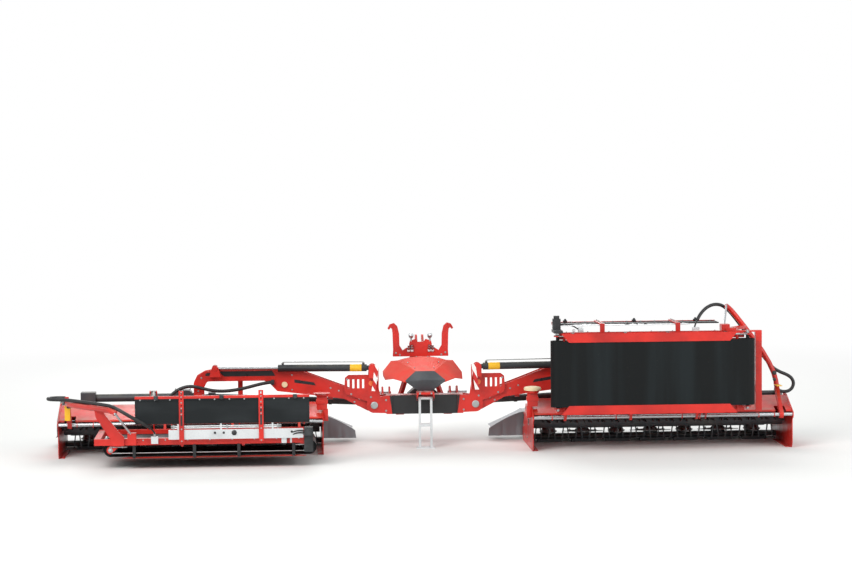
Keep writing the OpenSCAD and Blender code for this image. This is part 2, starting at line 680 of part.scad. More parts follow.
// Conveyor, drawn about its hinge: Y rearward is negative, Z is over the hinge
rail_in = 1465;
rail_out = 3665;
module conveyor_frame(s) {
    color(red) belt_pose(s) {
        // Front and rear rails with chamfered ends
        for (y = [[-belt_front + 8, -60], [-1030, -belt_rear - 8]]) translate([0, 0, -128])
            linear_extrude(76) polygon([[rail_in, y[0]], [rail_out, y[0]], [rail_out + 28, y[0] + 40],
                    [rail_out + 28, y[1]], [rail_in - 28, y[1]], [rail_in - 28, y[0] + 40]]);
        // Upright at the outer end, square to the rails
        for (y = [[-1030, -1012], [-78, -60]])
            block([rail_out - 60, y[0], -128], [belt_out() + 110, y[1], -52]);
        block([belt_out() + 35, -1030, -128], [belt_out() + 110, -60, -52]);
        // Cross tubes and slide bed inside the belt
        for (x = [rail_in + 60, 2200, 2900, rail_out - 60])
            bar_y(-1000, -90, x, -belt_drop + 48, 36);
        block([rail_in + 20, -belt_rear + 4, -belt_drop + roller_d / 2 - 10],
            [rail_out - 20, -belt_front - 4, -belt_drop + roller_d / 2 - 4]);
        // End plates that carry the rollers
        for (y = [-1000, -136]) xz(y, y + 12) for (k = [0, 1]) translate([k ? rail_out : rail_in, 0])
            mirror([k ? 0 : 1, 0]) difference() {
                polygon(concat([[-60, -64], [-60, -128]],
                        arc([end_roller(k), -belt_drop], 46, -95, 85, 12), [[20, -64]]));
                translate([end_roller(k), -belt_drop]) circle(d = 40 + run);
            }
        // Lugs round the hinge tube, and the lever of the lift cylinder
        for (x = [1530, 2320, 3120]) yz(x, x + 30) difference() {
            polygon(concat(arc([0, 0], 42, -60, 160, 16), [[-128, -60], [-128, -120], [-70, -120]]));
            circle(d = 42 + run);
        }
        for (x = [-42, 30]) yz(lift_x - s[SHIFT] + x, lift_x - s[SHIFT] + x + 12) difference() {
            polygon(concat(arc([0, 0], 40, -60, 45, 8), arc([-lift_r, lift_r], 30, 45, 190, 10),
                    [[-136, -60], [-136, -120], [-70, -120]]));
            circle(d = 42 + run);
            translate([-lift_r, lift_r]) circle(d = 26);
        }
        // Straps that hold the deflector, and its top rail
        for (x = [1990, 2900]) difference() {
            block([x - 28, -1132, -90], [x + 28, -1112, 500]);
            for (z = [330, 405, 465]) bar_y(-1200, -1050, x, z, 16);
        }
        for (x = [1990, 2900]) block([x - 28, -1116, -90], [x + 28, -1020, -66]);
        block([1435, -1122, 410], [3430, -1090, 440]);
    }
}
function belt_out() = belt_in + belt_len;
// Distance of an end roller beyond the end of the rails
function end_roller(k) = (k ? belt_out() - rail_out : rail_in - belt_in) - roller_d / 2;

module belt(s) {
    r = roller_d / 2;
    color(black) belt_pose(s) {
        xz(-belt_rear, -belt_front) difference() {
            hull() for (x = [belt_in + r, belt_out() - r]) translate([x, -belt_drop])
                circle(r = r + belt_t);
            hull() for (x = [belt_in + r, belt_out() - r]) translate([x, -belt_drop]) circle(r = r);
        }
        for (x = [belt_in + r, belt_out() - r])
            bar_y(-belt_rear + 8, -belt_front - 8, x, -belt_drop, roller_d - 1);
        for (x = [belt_in + r, belt_out() - r])
            bar_y(-1010, -126, x, -belt_drop, 40);
    }
}

module deflector(s) {
    color(black) belt_pose(s) {
        // Upper panel with its folded edges
        yz(1435, 3430) polygon([[-1112, 120], [-1104, 120], [-1102, 408], [-1112, 410]]);
        yz(1510, 3050) polygon([[-1112, -60], [-1104, -60], [-1104, 50], [-1112, 50]]);
        for (z = [70, 90]) bar_x(1790, 3000, -1103, z, 14);
        for (x = [1860, 2450, 2940]) block([x - 10, -1113, 40], [x + 10, -1103, 130]);
    }
}

module belt_motor(s) {
    color(black) belt_pose(s) {
        block([1395, -1062, -230], [1500, -1030, 60]);
        block([1405, -1190, -30], [1495, -1060, 60]);
        bar_y(-1225, -1185, 1450, 15, 70);
    }
}

// Lift arm: bent tube from the hinge round the belt's outer end to its rear edge
arm_x = 4262;
LIFT_PATH = [[arm_x, -40, 40], [arm_x, -110, 110], [arm_x, -190, 205], [arm_x, -300, 280],
    [4225, -480, 292], [4090, -740, 300], [3840, -1080, 300], [3700, -1250, 296],
    [3640, -1300, 270]];
module lift_arm(s) {
    dx = -s[SHIFT];
    color(red) belt_pose(s) {
        difference() {
            union() {
                sweep([for (p = LIFT_PATH) p + [dx, 0, 0]], 62, 12, 2);
                yz(arm_x - 27 + dx, arm_x + 23 + dx) hull() {
                    circle(r = 45);
                    translate([-75, 75]) circle(r = 34);
                }
                yz(arm_x - 22 + dx, arm_x + 18 + dx) rounded(10) polygon([[-30, 60], [-110, 155],
                        [-200, 250], [-330, 320], [-330, 250], [-230, 170], [-140, 70], [-60, 10]]);
                // Gland of the hose
                block([arm_x - 22 + dx, -372, 285], [arm_x + 22 + dx, -330, 372]);
            }
            bar_x(arm_x - 62, arm_x + 68, 0, 0, 42 + run);
            bar_x(arm_x - 162, arm_x - 32, 0, 0, 42 + run);
        }
        bar([3640 + dx, -1300, 262], [3470, -1075, -10], 26);
        block([3420, -1105, -120], [3520, -1030, 20]);
        // Valve block of the hose, and the plate that joins the arm to the belt's rear rail
        block([3172 + dx, -1072, -110], [3252 + dx, -1030, -30]);
        xz(-1060, -1030) translate([dx, 0]) polygon([[3560, -128], [3690, -128], [3730, -30],
                [3880, 200], [3895, 285], [3800, 285], [3770, 225], [3610, 20], [3560, -30]]);
    }
}

// Lift cylinder of the belt unit
lift_x = 3300;
lift_r = 120;
lift_base = [340, 720];
function lift_eye(raise) = raise > 45 ? [belt_y + lift_r, belt_z + lift_r]
    : [belt_y - lift_r, belt_z + lift_r];
module lift_barrel(s) {
    e = lift_eye(s[RAISE]);
    a = [lift_x, lift_base[0], lift_base[1]];
    u = ([lift_x, e[0], e[1]] - a) / norm([lift_x, e[0], e[1]] - a);
    color(dark) on_side(s) difference() {
        union() {
            bar_x(lift_x - 26, lift_x + 26, a[1], a[2], 46);
            bar(a + 18 * u, a + 400 * u, 58);
        }
        bar_x(lift_x - 60, lift_x + 60, a[1], a[2], 25 + run);
        bar(a + 60 * u, a + 370 * u, 46);
        bar(a + 360 * u, a + 420 * u, 28 + run);
    }
}
module lift_rod(s) {
    e = lift_eye(s[RAISE]);
    a = [lift_x, lift_base[0], lift_base[1]];
    b = [lift_x, e[0], e[1]];
    u = (b - a) / norm(b - a);
    reach = norm(b - a);
    color(steel) on_side(s) {
        bar_x(lift_x - 18, lift_x + 18, b[1], b[2], 44);
        bar_x(lift_x - 25, lift_x + 25, b[1], b[2], 25);
        bar(b - (reach - (s[RAISE] > 45 ? 110 : 330)) * u, b - 10 * u, 28);
    }
}

// Hose from the lift arm's gland, out in a loop and along the arm to the belt's valve block
hose_d = 20;
HOSE_PATH = [[4262, -330, 352], [4262, -318, 352], [4262, -306, 352], [4282, -268, 352],
    [4340, -242, 352], [4410, -245, 352], [4464, -285, 352], [4480, -350, 352],
    [4450, -410, 352], [4390, -450, 352], [4310, -485, 352], [4225, -540, 352],
    [4130, -650, 352], [4020, -800, 352], [3900, -960, 352], [3790, -1110, 352],
    [3690, -1230, 345], [3590, -1305, 305], [3480, -1320, 240], [3380, -1285, 175],
    [3300, -1215, 120], [3245, -1130, 70], [3216, -1078, 25], [3212, -1052, 0],
    [3212, -1052, -15], [3212, -1052, -30]];
module hoses(s) {
    dx = -s[SHIFT];
    color(black) belt_pose(s) sweep([for (q = HOSE_PATH) q + [dx, 0, 0]], hose_d, 8, 2);
}

// Centre hood: folded sheet over the gearbox, narrow behind where the folded arms pass
module hood_front_outline(d) {
    offset(delta = -d) polygon([[-290, 1050], [-260, 1066], [260, 1066], [290, 1050], [380, 1000],
            [492, 880], [480, 850], [390, 840], [270, 800], [180, 830], [110, 690], [-110, 690],
            [-180, 830], [-270, 800], [-390, 840], [-480, 850], [-492, 880], [-380, 1000]]);
}
module hood_side_outline(d) {
    offset(delta = -d) polygon([[1190, 830], [1190, 985], [960, 1066], [820, 1066], [330, 935],
            [250, 825], [315, 690], [640, 690], [640, 790]]);
}
module hood_plan_outline(d) {
    offset(delta = -d) polygon([[-285, 200], [285, 200], [285, 660], [495, 690], [495, 1020],
            [380, 1200], [-380, 1200], [-495, 1020], [-495, 690], [-285, 660]]);
}
module hood_body(d) {
    intersection() {
        xz(150, 1300) hood_front_outline(d);
        yz(-600, 600) hood_side_outline(d);
        translate([0, 0, 600]) linear_extrude(600) hood_plan_outline(d);
    }
}
module hood() {
    color(red) difference() {
        hood_body(0);
        hood_body(8);
        block([-90, 600, 650], [90, 1100, 900]);
    }
}
module hood_nose() {
    color(dark) intersection() {
        xz(150, 345) rounded(12) polygon([[-118, 930], [118, 930], [282, 838], [282, 812], [60, 692],
                [-60, 692], [-282, 812], [-282, 838]]);
        yz(-300, 300) difference() {
            hood_side_outline(-16);
            hood_side_outline(-1);
        }
    }
}

// Upright plates and round reflectors beside the fold hinges
module marker_plates() {
    color(zinc) for (s = SIDES) on_side(s) {
        block([566, 302, 700], [574, rear_fork() - fork_t, 1010]);
        bar_y(376, rear_fork() - fork_t, 655, 790, 64);
    }
}

// Parking stand that hinges under the hood's nose
stand_y = 290;
stand_z = 610;
module park_stand() {
    color(zinc) difference() {
        union() {
            bar_x(-84, 84, stand_y, stand_z, 44);
            for (x = [-70, 70]) block([x - 14, stand_y - 18, 8], [x + 14, stand_y + 18, stand_z]);
            block([-110, stand_y - 90, 0], [110, stand_y + 90, 12]);
            block([-70, stand_y - 12, 260], [70, stand_y + 12, 300]);
        }
        bar_x(-120, 120, stand_y, stand_z, 24 + run);
    }
}

headstock();
hose_rack();
link_pins();
centre_gearbox();
hood();
hood_nose();
marker_plates();
park_stand();
for (s = SIDES) {
    n = s[NAME];
    arm(s);
    driveshaft(s);
    fold_barrel(s);
    fold_rod(s);
    mower_frame(s);
    cover_frame(s);
    cutterbar(s);
    conditioner_hood(s);
    side_gearbox(s);
    curtain(s);
    conditioner_rotor(s);
    conveyor_frame(s);
    belt(s);
    deflector(s);
    belt_motor(s);
    lift_arm(s);
    lift_barrel(s);
    lift_rod(s);
    hoses(s);
    for (i = [1:disc_count]) disc(s, i);
}
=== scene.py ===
"""Dress of a twin-wing disc mower conditioner: finishes, crop covers, hoses and small parts."""
import math

import bmesh
import bpy
from bpy.props import FloatProperty, FloatVectorProperty, IntProperty, PointerProperty, StringProperty
from mathutils import Matrix, Vector


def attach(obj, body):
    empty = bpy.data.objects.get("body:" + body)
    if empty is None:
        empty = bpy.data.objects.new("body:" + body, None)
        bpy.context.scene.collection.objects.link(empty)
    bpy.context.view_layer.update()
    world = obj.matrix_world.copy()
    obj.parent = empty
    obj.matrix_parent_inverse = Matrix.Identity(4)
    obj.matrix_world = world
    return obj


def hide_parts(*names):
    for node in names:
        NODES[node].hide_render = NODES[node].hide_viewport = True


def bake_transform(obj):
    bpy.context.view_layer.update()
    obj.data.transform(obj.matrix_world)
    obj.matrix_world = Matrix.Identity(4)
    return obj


bl_info = {
    "name": "Mower conditioner dress",
    "version": (1, 0, 0),
    "blender": (4, 5, 0),
    "location": "View3D > Sidebar > Mower",
    "description": "Finishes, cloth, hoses and small parts of a twin-wing mower conditioner",
    "category": "Object",
}

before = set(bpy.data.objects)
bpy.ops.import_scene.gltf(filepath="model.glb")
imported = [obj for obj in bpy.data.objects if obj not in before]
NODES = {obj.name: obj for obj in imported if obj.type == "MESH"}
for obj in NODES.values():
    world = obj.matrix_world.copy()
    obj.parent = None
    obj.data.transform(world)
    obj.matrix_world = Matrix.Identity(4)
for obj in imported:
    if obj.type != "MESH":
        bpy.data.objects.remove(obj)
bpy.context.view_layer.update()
MM = 0.001
SIDES = (("left", -1), ("right", 1))

# Belt shift outboard in metres and whether the belt is swung up, for each side at rest
BELT = {"left": (0.0, False), "right": (0.095, True)}
# Axis that a belt unit swings on
HINGE_Y, HINGE_Z = -0.310, 0.410
# Cutting discs of one mower unit
DISC_COUNT = 7
DISC_PITCH = 0.425
DISC_Y = 0.790
# Middle and half width of a mower unit
UNIT_X = 2.830
UNIT_HALF = 1.575
# Pin that an arm folds on
FOLD_X, FOLD_Z = 0.620, 0.520
# Rear and front face of an arm's side plates, with the way that each looks
ARM_FACES = ((0.433, -1), (0.607, 1))
# Straps that run up a belt unit's rear
STRAPS_X = (1.990, 2.900)
# Turns of four bolts round a hub
QUARTERS = [math.radians(45 + 90 * k) for k in range(4)]


# Settings that a user would change

class PaintSettings(bpy.types.PropertyGroup):
    red: StringProperty(name="Red", description="Enamel of frames and arms, sRGB hex", default="D0281D")
    cover: StringProperty(name="Cover red", description="Moulded covers, sRGB hex", default="DE3B2A")
    dark: StringProperty(name="Casting grey", description="Enamel of castings, sRGB hex", default="33363A")
    tarp: StringProperty(name="Crop cover", description="Coated tarpaulin, sRGB hex", default="7F8589")
    bevel: FloatProperty(name="Edge radius", description="Radius that edges shade with",
                         default=0.003, unit="LENGTH")


class HoseSettings(bpy.types.PropertyGroup):
    diameter: FloatProperty(name="Hose diameter", description="Outer diameter of the belt hoses",
                            default=0.020, unit="LENGTH")
    bundle: FloatProperty(name="Sleeve diameter", description="Outer diameter of the sleeved bundles",
                          default=0.042, unit="LENGTH")
    motor: FloatProperty(name="Motor hose diameter", description="Outer diameter of the motor hoses",
                         default=0.015, unit="LENGTH")


class ClothSettings(bpy.types.PropertyGroup):
    wave: FloatProperty(name="Fold depth", description="Depth of the folds at the hem of the crop cover",
                        default=0.014, unit="LENGTH")
    folds: IntProperty(name="Folds", description="Folds along one cover's front", default=17)


class StageSettings(bpy.types.PropertyGroup):
    camera_at: FloatVectorProperty(name="Camera place", description="Where the camera stands",
                                   default=(-1.82, -30.58, 3.80), subtype="TRANSLATION", size=3)
    yaw: FloatProperty(name="Yaw", description="Turn of the view to the right of straight ahead",
                       default=math.radians(3.41), subtype="ANGLE")
    pitch: FloatProperty(name="Pitch", description="How far the view looks down",
                         default=math.radians(3.42), subtype="ANGLE")
    roll: FloatProperty(name="Roll", description="Turn of the camera about its view",
                        default=math.radians(0.5), subtype="ANGLE")
    lens: FloatProperty(name="Lens", description="Focal length on a 36 mm sensor", default=107.7,
                        unit="CAMERA")
    floor: StringProperty(name="Floor", description="Colour of the floor, sRGB hex", default="E9E9E6")


# Nodes of the materials

# Scale at which a band texture repeats once a metre
BANDS_PER_METRE = math.pi / 10
# Radius that the edges of mouldings and castings shade with
SOFT_EDGE = 0.004


def linear(hexa):
    """An sRGB hex value as a linear colour."""
    rgb = [int(hexa[i:i + 2], 16) / 255 for i in (0, 2, 4)]
    return tuple(c / 12.92 if c <= 0.04045 else ((c + 0.055) / 1.055) ** 2.4 for c in rgb) + (1.0,)


def add(tree, kind, inputs=None, **settings):
    """Adds a node with its settings; inputs maps an input to its value or to the socket that feeds it."""
    node = tree.nodes.new(kind)
    for key, value in settings.items():
        setattr(node, key, value)
    for key, value in (inputs or {}).items():
        if isinstance(value, bpy.types.NodeSocket):
            tree.links.new(value, node.inputs[key])
        else:
            node.inputs[key].default_value = value
    return node


def new_material(name, base, rough, metal=0.0, **sockets):
    """A principled material of one base colour, with its tree and shader."""
    m = bpy.data.materials.new(name)
    m.use_nodes = True
    shader = m.node_tree.nodes["Principled BSDF"]
    shader.inputs["Base Color"].default_value = linear(base)
    shader.inputs["Roughness"].default_value = rough
    shader.inputs["Metallic"].default_value = metal
    for key, value in sockets.items():
        shader.inputs[key.replace("_", " ")].default_value = value
    return m, m.node_tree, shader


def noise_of(tree, size_mm, detail=3.0, stretch=(1, 1, 1)):
    """Noise whose grains are size_mm across, in the piece's own space."""
    place = add(tree, "ShaderNodeTexCoord").outputs["Object"]
    mapping = add(tree, "ShaderNodeMapping", {"Vector": place, "Scale": stretch})
    noise = add(tree, "ShaderNodeTexNoise", {"Vector": mapping.outputs["Vector"],
                                             "Scale": 1 / (size_mm * MM), "Detail": detail})
    return noise.outputs["Fac"]


def tint_base(tree, shader, share, tint):
    """Mixes the base colour, or what feeds it, towards tint by a share."""
    base = shader.inputs["Base Color"]
    under = base.links[0].from_socket if base.links else tuple(base.default_value)
    mix = add(tree, "ShaderNodeMix", {"Factor": share, 6: under, 7: linear(tint)}, data_type="RGBA")
    tree.links.new(mix.outputs[2], base)


def vary(tree, shader, tint, size_mm, low, high, stretch=(1, 1, 1)):
    """Mixes the base colour towards tint where a noise of that size lies between low and high."""
    share = add(tree, "ShaderNodeMapRange", {"Value": noise_of(tree, size_mm, 4.0, stretch),
                                             "From Min": low, "From Max": high})
    tint_base(tree, shader, share.outputs["Result"], tint)


def rough_vary(tree, shader, size_mm, low, high, stretch=(1, 1, 1)):
    """Roughness between low and high, in patches of that size."""
    rough = add(tree, "ShaderNodeMapRange", {"Value": noise_of(tree, size_mm, stretch=stretch),
                                             "From Min": 0.35, "From Max": 0.65,
                                             "To Min": low, "To Max": high})
    tree.links.new(rough.outputs["Result"], shader.inputs["Roughness"])


def relief(tree, shader, height, depth_mm, strength, edge=0.0):
    """Bump of that depth from a height socket, over edges rounded by edge metres."""
    inputs = {"Height": height, "Strength": strength, "Distance": depth_mm * MM}
    if edge:
        inputs["Normal"] = add(tree, "ShaderNodeBevel", {"Radius": edge}, samples=3).outputs["Normal"]
    bump = add(tree, "ShaderNodeBump", inputs)
    tree.links.new(bump.outputs["Normal"], shader.inputs["Normal"])


def settle_dust(tree, shader, most=0.35):
    """Field dust that lies where a face looks up, in blotches."""
    normal = add(tree, "ShaderNodeNewGeometry").outputs["Normal"]
    up = add(tree, "ShaderNodeSeparateXYZ", {"Vector": normal})
    blotches = add(tree, "ShaderNodeMapRange", {"Value": noise_of(tree, 140, 5.0),
                                                "From Min": 0.42, "From Max": 0.72})
    facing = add(tree, "ShaderNodeMapRange", {"Value": up.outputs["Z"], "From Min": 0.2, "To Max": most})
    share = add(tree, "ShaderNodeMath", {0: blotches.outputs["Result"], 1: facing.outputs["Result"]},
                operation="MULTIPLY")
    tint_base(tree, shader, share.outputs["Value"], "8C8468")


# Materials, each from its real stuff and how its surface was made

def powder_coated_steel(name, hexa, rough, shade):
    """Powder coat over welded plate: a fine orange peel, slightly darker blotches and a little dust."""
    m, tree, shader = new_material(name, hexa, rough, Coat_Weight=0.12, Coat_Roughness=0.2,
                                   Specular_IOR_Level=0.4)
    vary(tree, shader, shade, 420, 0.40, 0.85)
    settle_dust(tree, shader)
    rough_vary(tree, shader, 90, rough - 0.06, rough + 0.12)
    # Orange peel is 2 mm across in truth, drawn at 9 mm so that it shows
    relief(tree, shader, noise_of(tree, 9), 0.12, 0.5, bpy.context.scene.mower_paint.bevel)
    return m


def moulded_cover(name, hexa, shade):
    """Moulded cover in body colour: a satin skin that takes a broad soft light, with dust."""
    m, tree, shader = new_material(name, hexa, 0.55, Specular_IOR_Level=0.12)
    vary(tree, shader, shade, 600, 0.45, 0.9)
    settle_dust(tree, shader, most=0.22)
    # Its folds are half as round again as the edges of steel
    relief(tree, shader, noise_of(tree, 60, 2.0), 0.3, 0.3, bpy.context.scene.mower_paint.bevel * 1.5)
    return m


def grained_moulding(name, hexa):
    """Matt moulding with a spark-eroded grain, paler where it is scuffed."""
    m, tree, shader = new_material(name, hexa, 0.55)
    vary(tree, shader, "5A5E60", 260, 0.5, 1.0)
    # Grain is 0.3 mm in truth, drawn at 5 mm so that it shows
    relief(tree, shader, noise_of(tree, 5, 2.0), 0.25, 0.6, SOFT_EDGE)
    return m


def satin_casting(name, hexa):
    """Sand-cast housing in satin enamel: a coarse skin under the paint."""
    m, tree, shader = new_material(name, hexa, 0.48)
    vary(tree, shader, "55524A", 180, 0.5, 0.95)
    settle_dust(tree, shader)
    # Casting skin has 2 mm grains in truth, drawn at 7 mm so that they show
    relief(tree, shader, noise_of(tree, 7, 4.0), 0.5, 0.7, SOFT_EDGE)
    return m


def calendered_belting(name):
    """Rubber belt with a cloth imprint, broad lighter cross bands painted in as sheen, and glossier cross
    bands where crop has polished it.
    """
    m, tree, shader = new_material(name, "0E1112", 0.5, Specular_IOR_Level=0.16)
    # Lighter cross bands in the colour are painted sheen; the roughness bands below are the polish
    vary(tree, shader, "181E20", 1400, 0.44, 0.62, (6, 0.3, 0.3))
    vary(tree, shader, "45463D", 26, 0.70, 0.95)
    rough_vary(tree, shader, 700, 0.44, 0.60, (4, 0.4, 0.4))
    # Cloth imprint is 2 mm in truth, drawn at 8 mm so that it shows
    relief(tree, shader, noise_of(tree, 8, 2.0, (1, 3, 3)), 0.3, 0.5)
    return m


def rubber_sheet(name, hexa):
    """Flexible rubber panel, satin, with long waves and chalky scuffs."""
    m, tree, shader = new_material(name, hexa, 0.5, Specular_IOR_Level=0.2)
    vary(tree, shader, "2C3032", 300, 0.5, 0.9, (0.3, 1, 1))
    relief(tree, shader, noise_of(tree, 420, 1.0), 6.0, 0.4)
    return m


def wound_sleeve(name):
    """Plastic sleeve wound round hoses: black and scuffed, with 12 mm wrinkles over its ridges."""
    m, tree, shader = new_material(name, "131416", 0.5)
    vary(tree, shader, "33342F", 45, 0.55, 0.9)
    relief(tree, shader, noise_of(tree, 12), 1.2, 0.7)
    return m


def ground_steel(name, hexa, rough):
    """Ground and plated round bar: bright, with fine turned lines."""
    m, tree, shader = new_material(name, hexa, rough, 1.0)
    rough_vary(tree, shader, 40, rough - 0.06, rough + 0.1, (1, 12, 12))
    return m


def galvanised_sheet(name):
    """Zinc-dipped sheet: pale dull silver, with a faint spangle and some grey bloom."""
    m, tree, shader = new_material(name, "D2D5D6", 0.4, 0.55)
    # Spangle crystals are 18 mm across
    vary(tree, shader, "BFC3C5", 18, 0.5, 0.9)
    vary(tree, shader, "A8ACAC", 240, 0.55, 0.95)
    rough_vary(tree, shader, 60, 0.34, 0.52)
    return m


def blade_steel(name):
    """Hardened disc and knife steel, polished by crop and brown at the roots."""
    m, tree, shader = new_material(name, "8F9193", 0.38, 0.85)
    vary(tree, shader, "6A5A48", 90, 0.45, 0.8)
    rough_vary(tree, shader, 30, 0.28, 0.55)
    return m


def coated_tarpaulin(name, hexa):
    """PVC-coated polyester cloth: a plain weave under a soft gloss, with scuffs."""
    m, tree, shader = new_material(name, hexa, 0.5, Sheen_Weight=0.15)
    vary(tree, shader, "7E8386", 320, 0.4, 0.8)
    # Threads lie 1 mm apart in truth, drawn 11.84 mm apart so that they show
    place = add(tree, "ShaderNodeTexCoord").outputs["Object"]
    warp, weft = (add(tree, "ShaderNodeTexWave", {"Vector": place, "Scale": BANDS_PER_METRE / (11.84 * MM)},
                      wave_type="BANDS", bands_direction=way).outputs["Fac"] for way in "XZ")
    both = add(tree, "ShaderNodeMath", {0: warp, 1: weft}, operation="ADD")
    relief(tree, shader, both.outputs["Value"], 0.2, 0.4)
    return m


def plain_film(name, hexa, rough):
    """Self-adhesive film of one colour, with a little wear in its gloss."""
    m, tree, shader = new_material(name, hexa, rough)
    rough_vary(tree, shader, 50, rough - 0.05, rough + 0.12)
    return m


def striped_film(name):
    """Reflective film with slanting red stripes 50 mm wide on white."""
    m, tree, shader = new_material(name, "F0EDE8", 0.35)
    place = add(tree, "ShaderNodeTexCoord").outputs["Object"]
    turn = add(tree, "ShaderNodeMapping", {"Vector": place, "Rotation": (0, math.radians(30), 0)})
    wave = add(tree, "ShaderNodeTexWave", {"Vector": turn.outputs["Vector"],
                                           "Scale": BANDS_PER_METRE / (2 * 50 * MM)},
               wave_type="BANDS", bands_direction="X")
    step = add(tree, "ShaderNodeMath", {0: wave.outputs["Fac"]}, operation="GREATER_THAN")
    tint_base(tree, shader, step.outputs["Value"], "C3201B")
    return m


def moulded_lens(name, hexa):
    """Acrylic reflector: clear coloured face over a prism pattern of 6 mm."""
    m, tree, shader = new_material(name, hexa, 0.18, Coat_Weight=0.6)
    place = add(tree, "ShaderNodeTexCoord").outputs["Object"]
    cell = add(tree, "ShaderNodeTexVoronoi", {"Vector": place, "Scale": 1 / (6 * MM)})
    relief(tree, shader, cell.outputs["Distance"], 0.8, 0.6)
    return m


MATERIALS = {}


def make_materials():
    """Makes every material, under the short name that the steps know it by."""
    paint = bpy.context.scene.mower_paint
    MATERIALS.update(
        red=powder_coated_steel("powder_coated_steel_red", paint.red, 0.34, "8E1512"),
        black_paint=powder_coated_steel("powder_coated_steel_black", "1C1D1F", 0.4, "141415"),
        barrel=powder_coated_steel("enamelled_tube_grey", "26292C", 0.42, "1C1E20"),
        cover=moulded_cover("moulded_cover_red", paint.cover, "B02418"),
        grey_moulding=grained_moulding("grained_moulding_grey", "3C4044"),
        black_moulding=grained_moulding("blown_polyethylene_black", "1D1F21"),
        cream=grained_moulding("moulded_polyamide_cream", "E6D2A8"),
        casting=satin_casting("satin_casting_grey", paint.dark),
        belting=calendered_belting("calendered_belting_black"),
        rubber=rubber_sheet("rubber_sheet_black", "15191B"),
        hose=wound_sleeve("wound_hose_black"),
        steel=ground_steel("ground_steel_bright", "B9BCBE", 0.24),
        bolt=ground_steel("zinc_plated_bolts", "A9ACAC", 0.36),
        zinc=galvanised_sheet("galvanised_sheet"),
        blade=blade_steel("hardened_blade_steel"),
        tarp=coated_tarpaulin("coated_tarpaulin_grey", paint.tarp),
        yellow=plain_film("vinyl_film_yellow", "E9B21A", 0.4),
        bare_field=plain_film("vinyl_film_black", "1B1C1E", 0.32),
        stripes=striped_film("reflective_film_striped"),
        lens=moulded_lens("acrylic_lens_orange", "F0691A"))


# Pieces and their meshes

def finish_node(node, material, *others):
    """Gives a frame node its material; others are (material, test of a face's centre and normal)."""
    mesh = NODES[node].data
    mesh.materials.clear()
    mesh.materials.append(MATERIALS[material])
    for k, (name, test) in enumerate(others):
        mesh.materials.append(MATERIALS[name])
        for p in mesh.polygons:
            if test(p.center, p.normal):
                p.material_index = k + 1


def new_object(name, data, material):
    """A new object of a mesh or a curve, in its material."""
    data.materials.append(MATERIALS[material])
    obj = bpy.data.objects.new(name, data)
    bpy.context.scene.collection.objects.link(obj)
    return obj


def new_mesh(name, bm, smooth=None):
    """A mesh from a bmesh, smooth where its faces meet at less than that angle in degrees."""
    mesh = bpy.data.meshes.new(name)
    bmesh.ops.recalc_face_normals(bm, faces=bm.faces)
    bm.to_mesh(mesh)
    bm.free()
    if smooth is not None:
        mesh.shade_smooth()
        mesh.set_sharp_from_angle(angle=math.radians(smooth))
    return mesh


def piece(name, bm, body, material, smooth=None):
    """A new object from a bmesh, riding a body."""
    obj = new_object(name, new_mesh(name, bm, smooth), material)
    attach(obj, body)
    return obj


def hose(name, points, diameter, body):
    """A round hose as a curve of one spline through its points."""
    curve = bpy.data.curves.new(name, "CURVE")
    curve.dimensions = "3D"
    curve.bevel_depth = diameter / 2
    curve.bevel_resolution = 6
    curve.use_fill_caps = True
    spline = curve.splines.new("POLY")
    spline.points.add(len(points) - 1)
    for s, p in zip(spline.points, points):
        s.co = (*p, 1.0)
    obj = new_object(name, curve, "hose")
    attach(obj, body)
    return obj


def skin(bm, rows, closed=False):
    """Faces between rows of vertices; closed joins the end of each row to its start."""
    for a, b in zip(rows, rows[1:]):
        for k in range(len(a) if closed else len(a) - 1):
            n = (k + 1) % len(a)
            bm.faces.new((a[k], a[n], b[n], b[k]))


def solid_of(bm, rings):
    """A closed body through rings of vertices."""
    skin(bm, rings, closed=True)
    bm.faces.new(list(reversed(rings[0])))
    bm.faces.new(rings[-1])


def circle(n):
    """Cosine and sine of n even turns."""
    return [(math.cos(2 * math.pi * k / n), math.sin(2 * math.pi * k / n)) for k in range(n)]


def add_lathe(bm, at, axis, profile, n=24):
    """Revolves (radius, height) pairs round an axis through at; closed at both ends."""
    turn = Vector((0, 0, 1)).rotation_difference(Vector(axis)).to_matrix().to_4x4()
    place = Matrix.Translation(at) @ turn
    solid_of(bm, [[bm.verts.new(place @ Vector((r * c, r * s, h))) for c, s in circle(n)]
                  for r, h in profile])


def add_prism(bm, outline, depth):
    """An outline of (x, z) pairs pulled between two depths in Y."""
    solid_of(bm, [[bm.verts.new((x, y, z)) for x, z in outline] for y in depth])


def add_block(bm, low, high, bevel=0.0):
    """A block between two opposite corners, with its edges broken by bevel metres."""
    spans = [sorted(pair) for pair in zip(low, high)]
    made = bmesh.ops.create_cube(bm, size=1.0)
    for v in made["verts"]:
        v.co = Vector([(a + b) / 2 + x * (b - a) for x, (a, b) in zip(v.co, spans)])
    if bevel:
        edges = list({e for v in made["verts"] for e in v.link_edges})
        bmesh.ops.bevel(bm, geom=edges, offset=bevel, segments=2, profile=0.6, affect="EDGES")


def add_facets(bm, facets):
    """Flat faces drawn for the right side, with the same ones mirrored on the left."""
    for way in (1, -1):
        for facet in facets:
            corners = [bm.verts.new((way * x, y, z)) for x, y, z in facet]
            bm.faces.new(corners if way > 0 else list(reversed(corners)))
    bmesh.ops.remove_doubles(bm, verts=bm.verts, dist=1e-5)


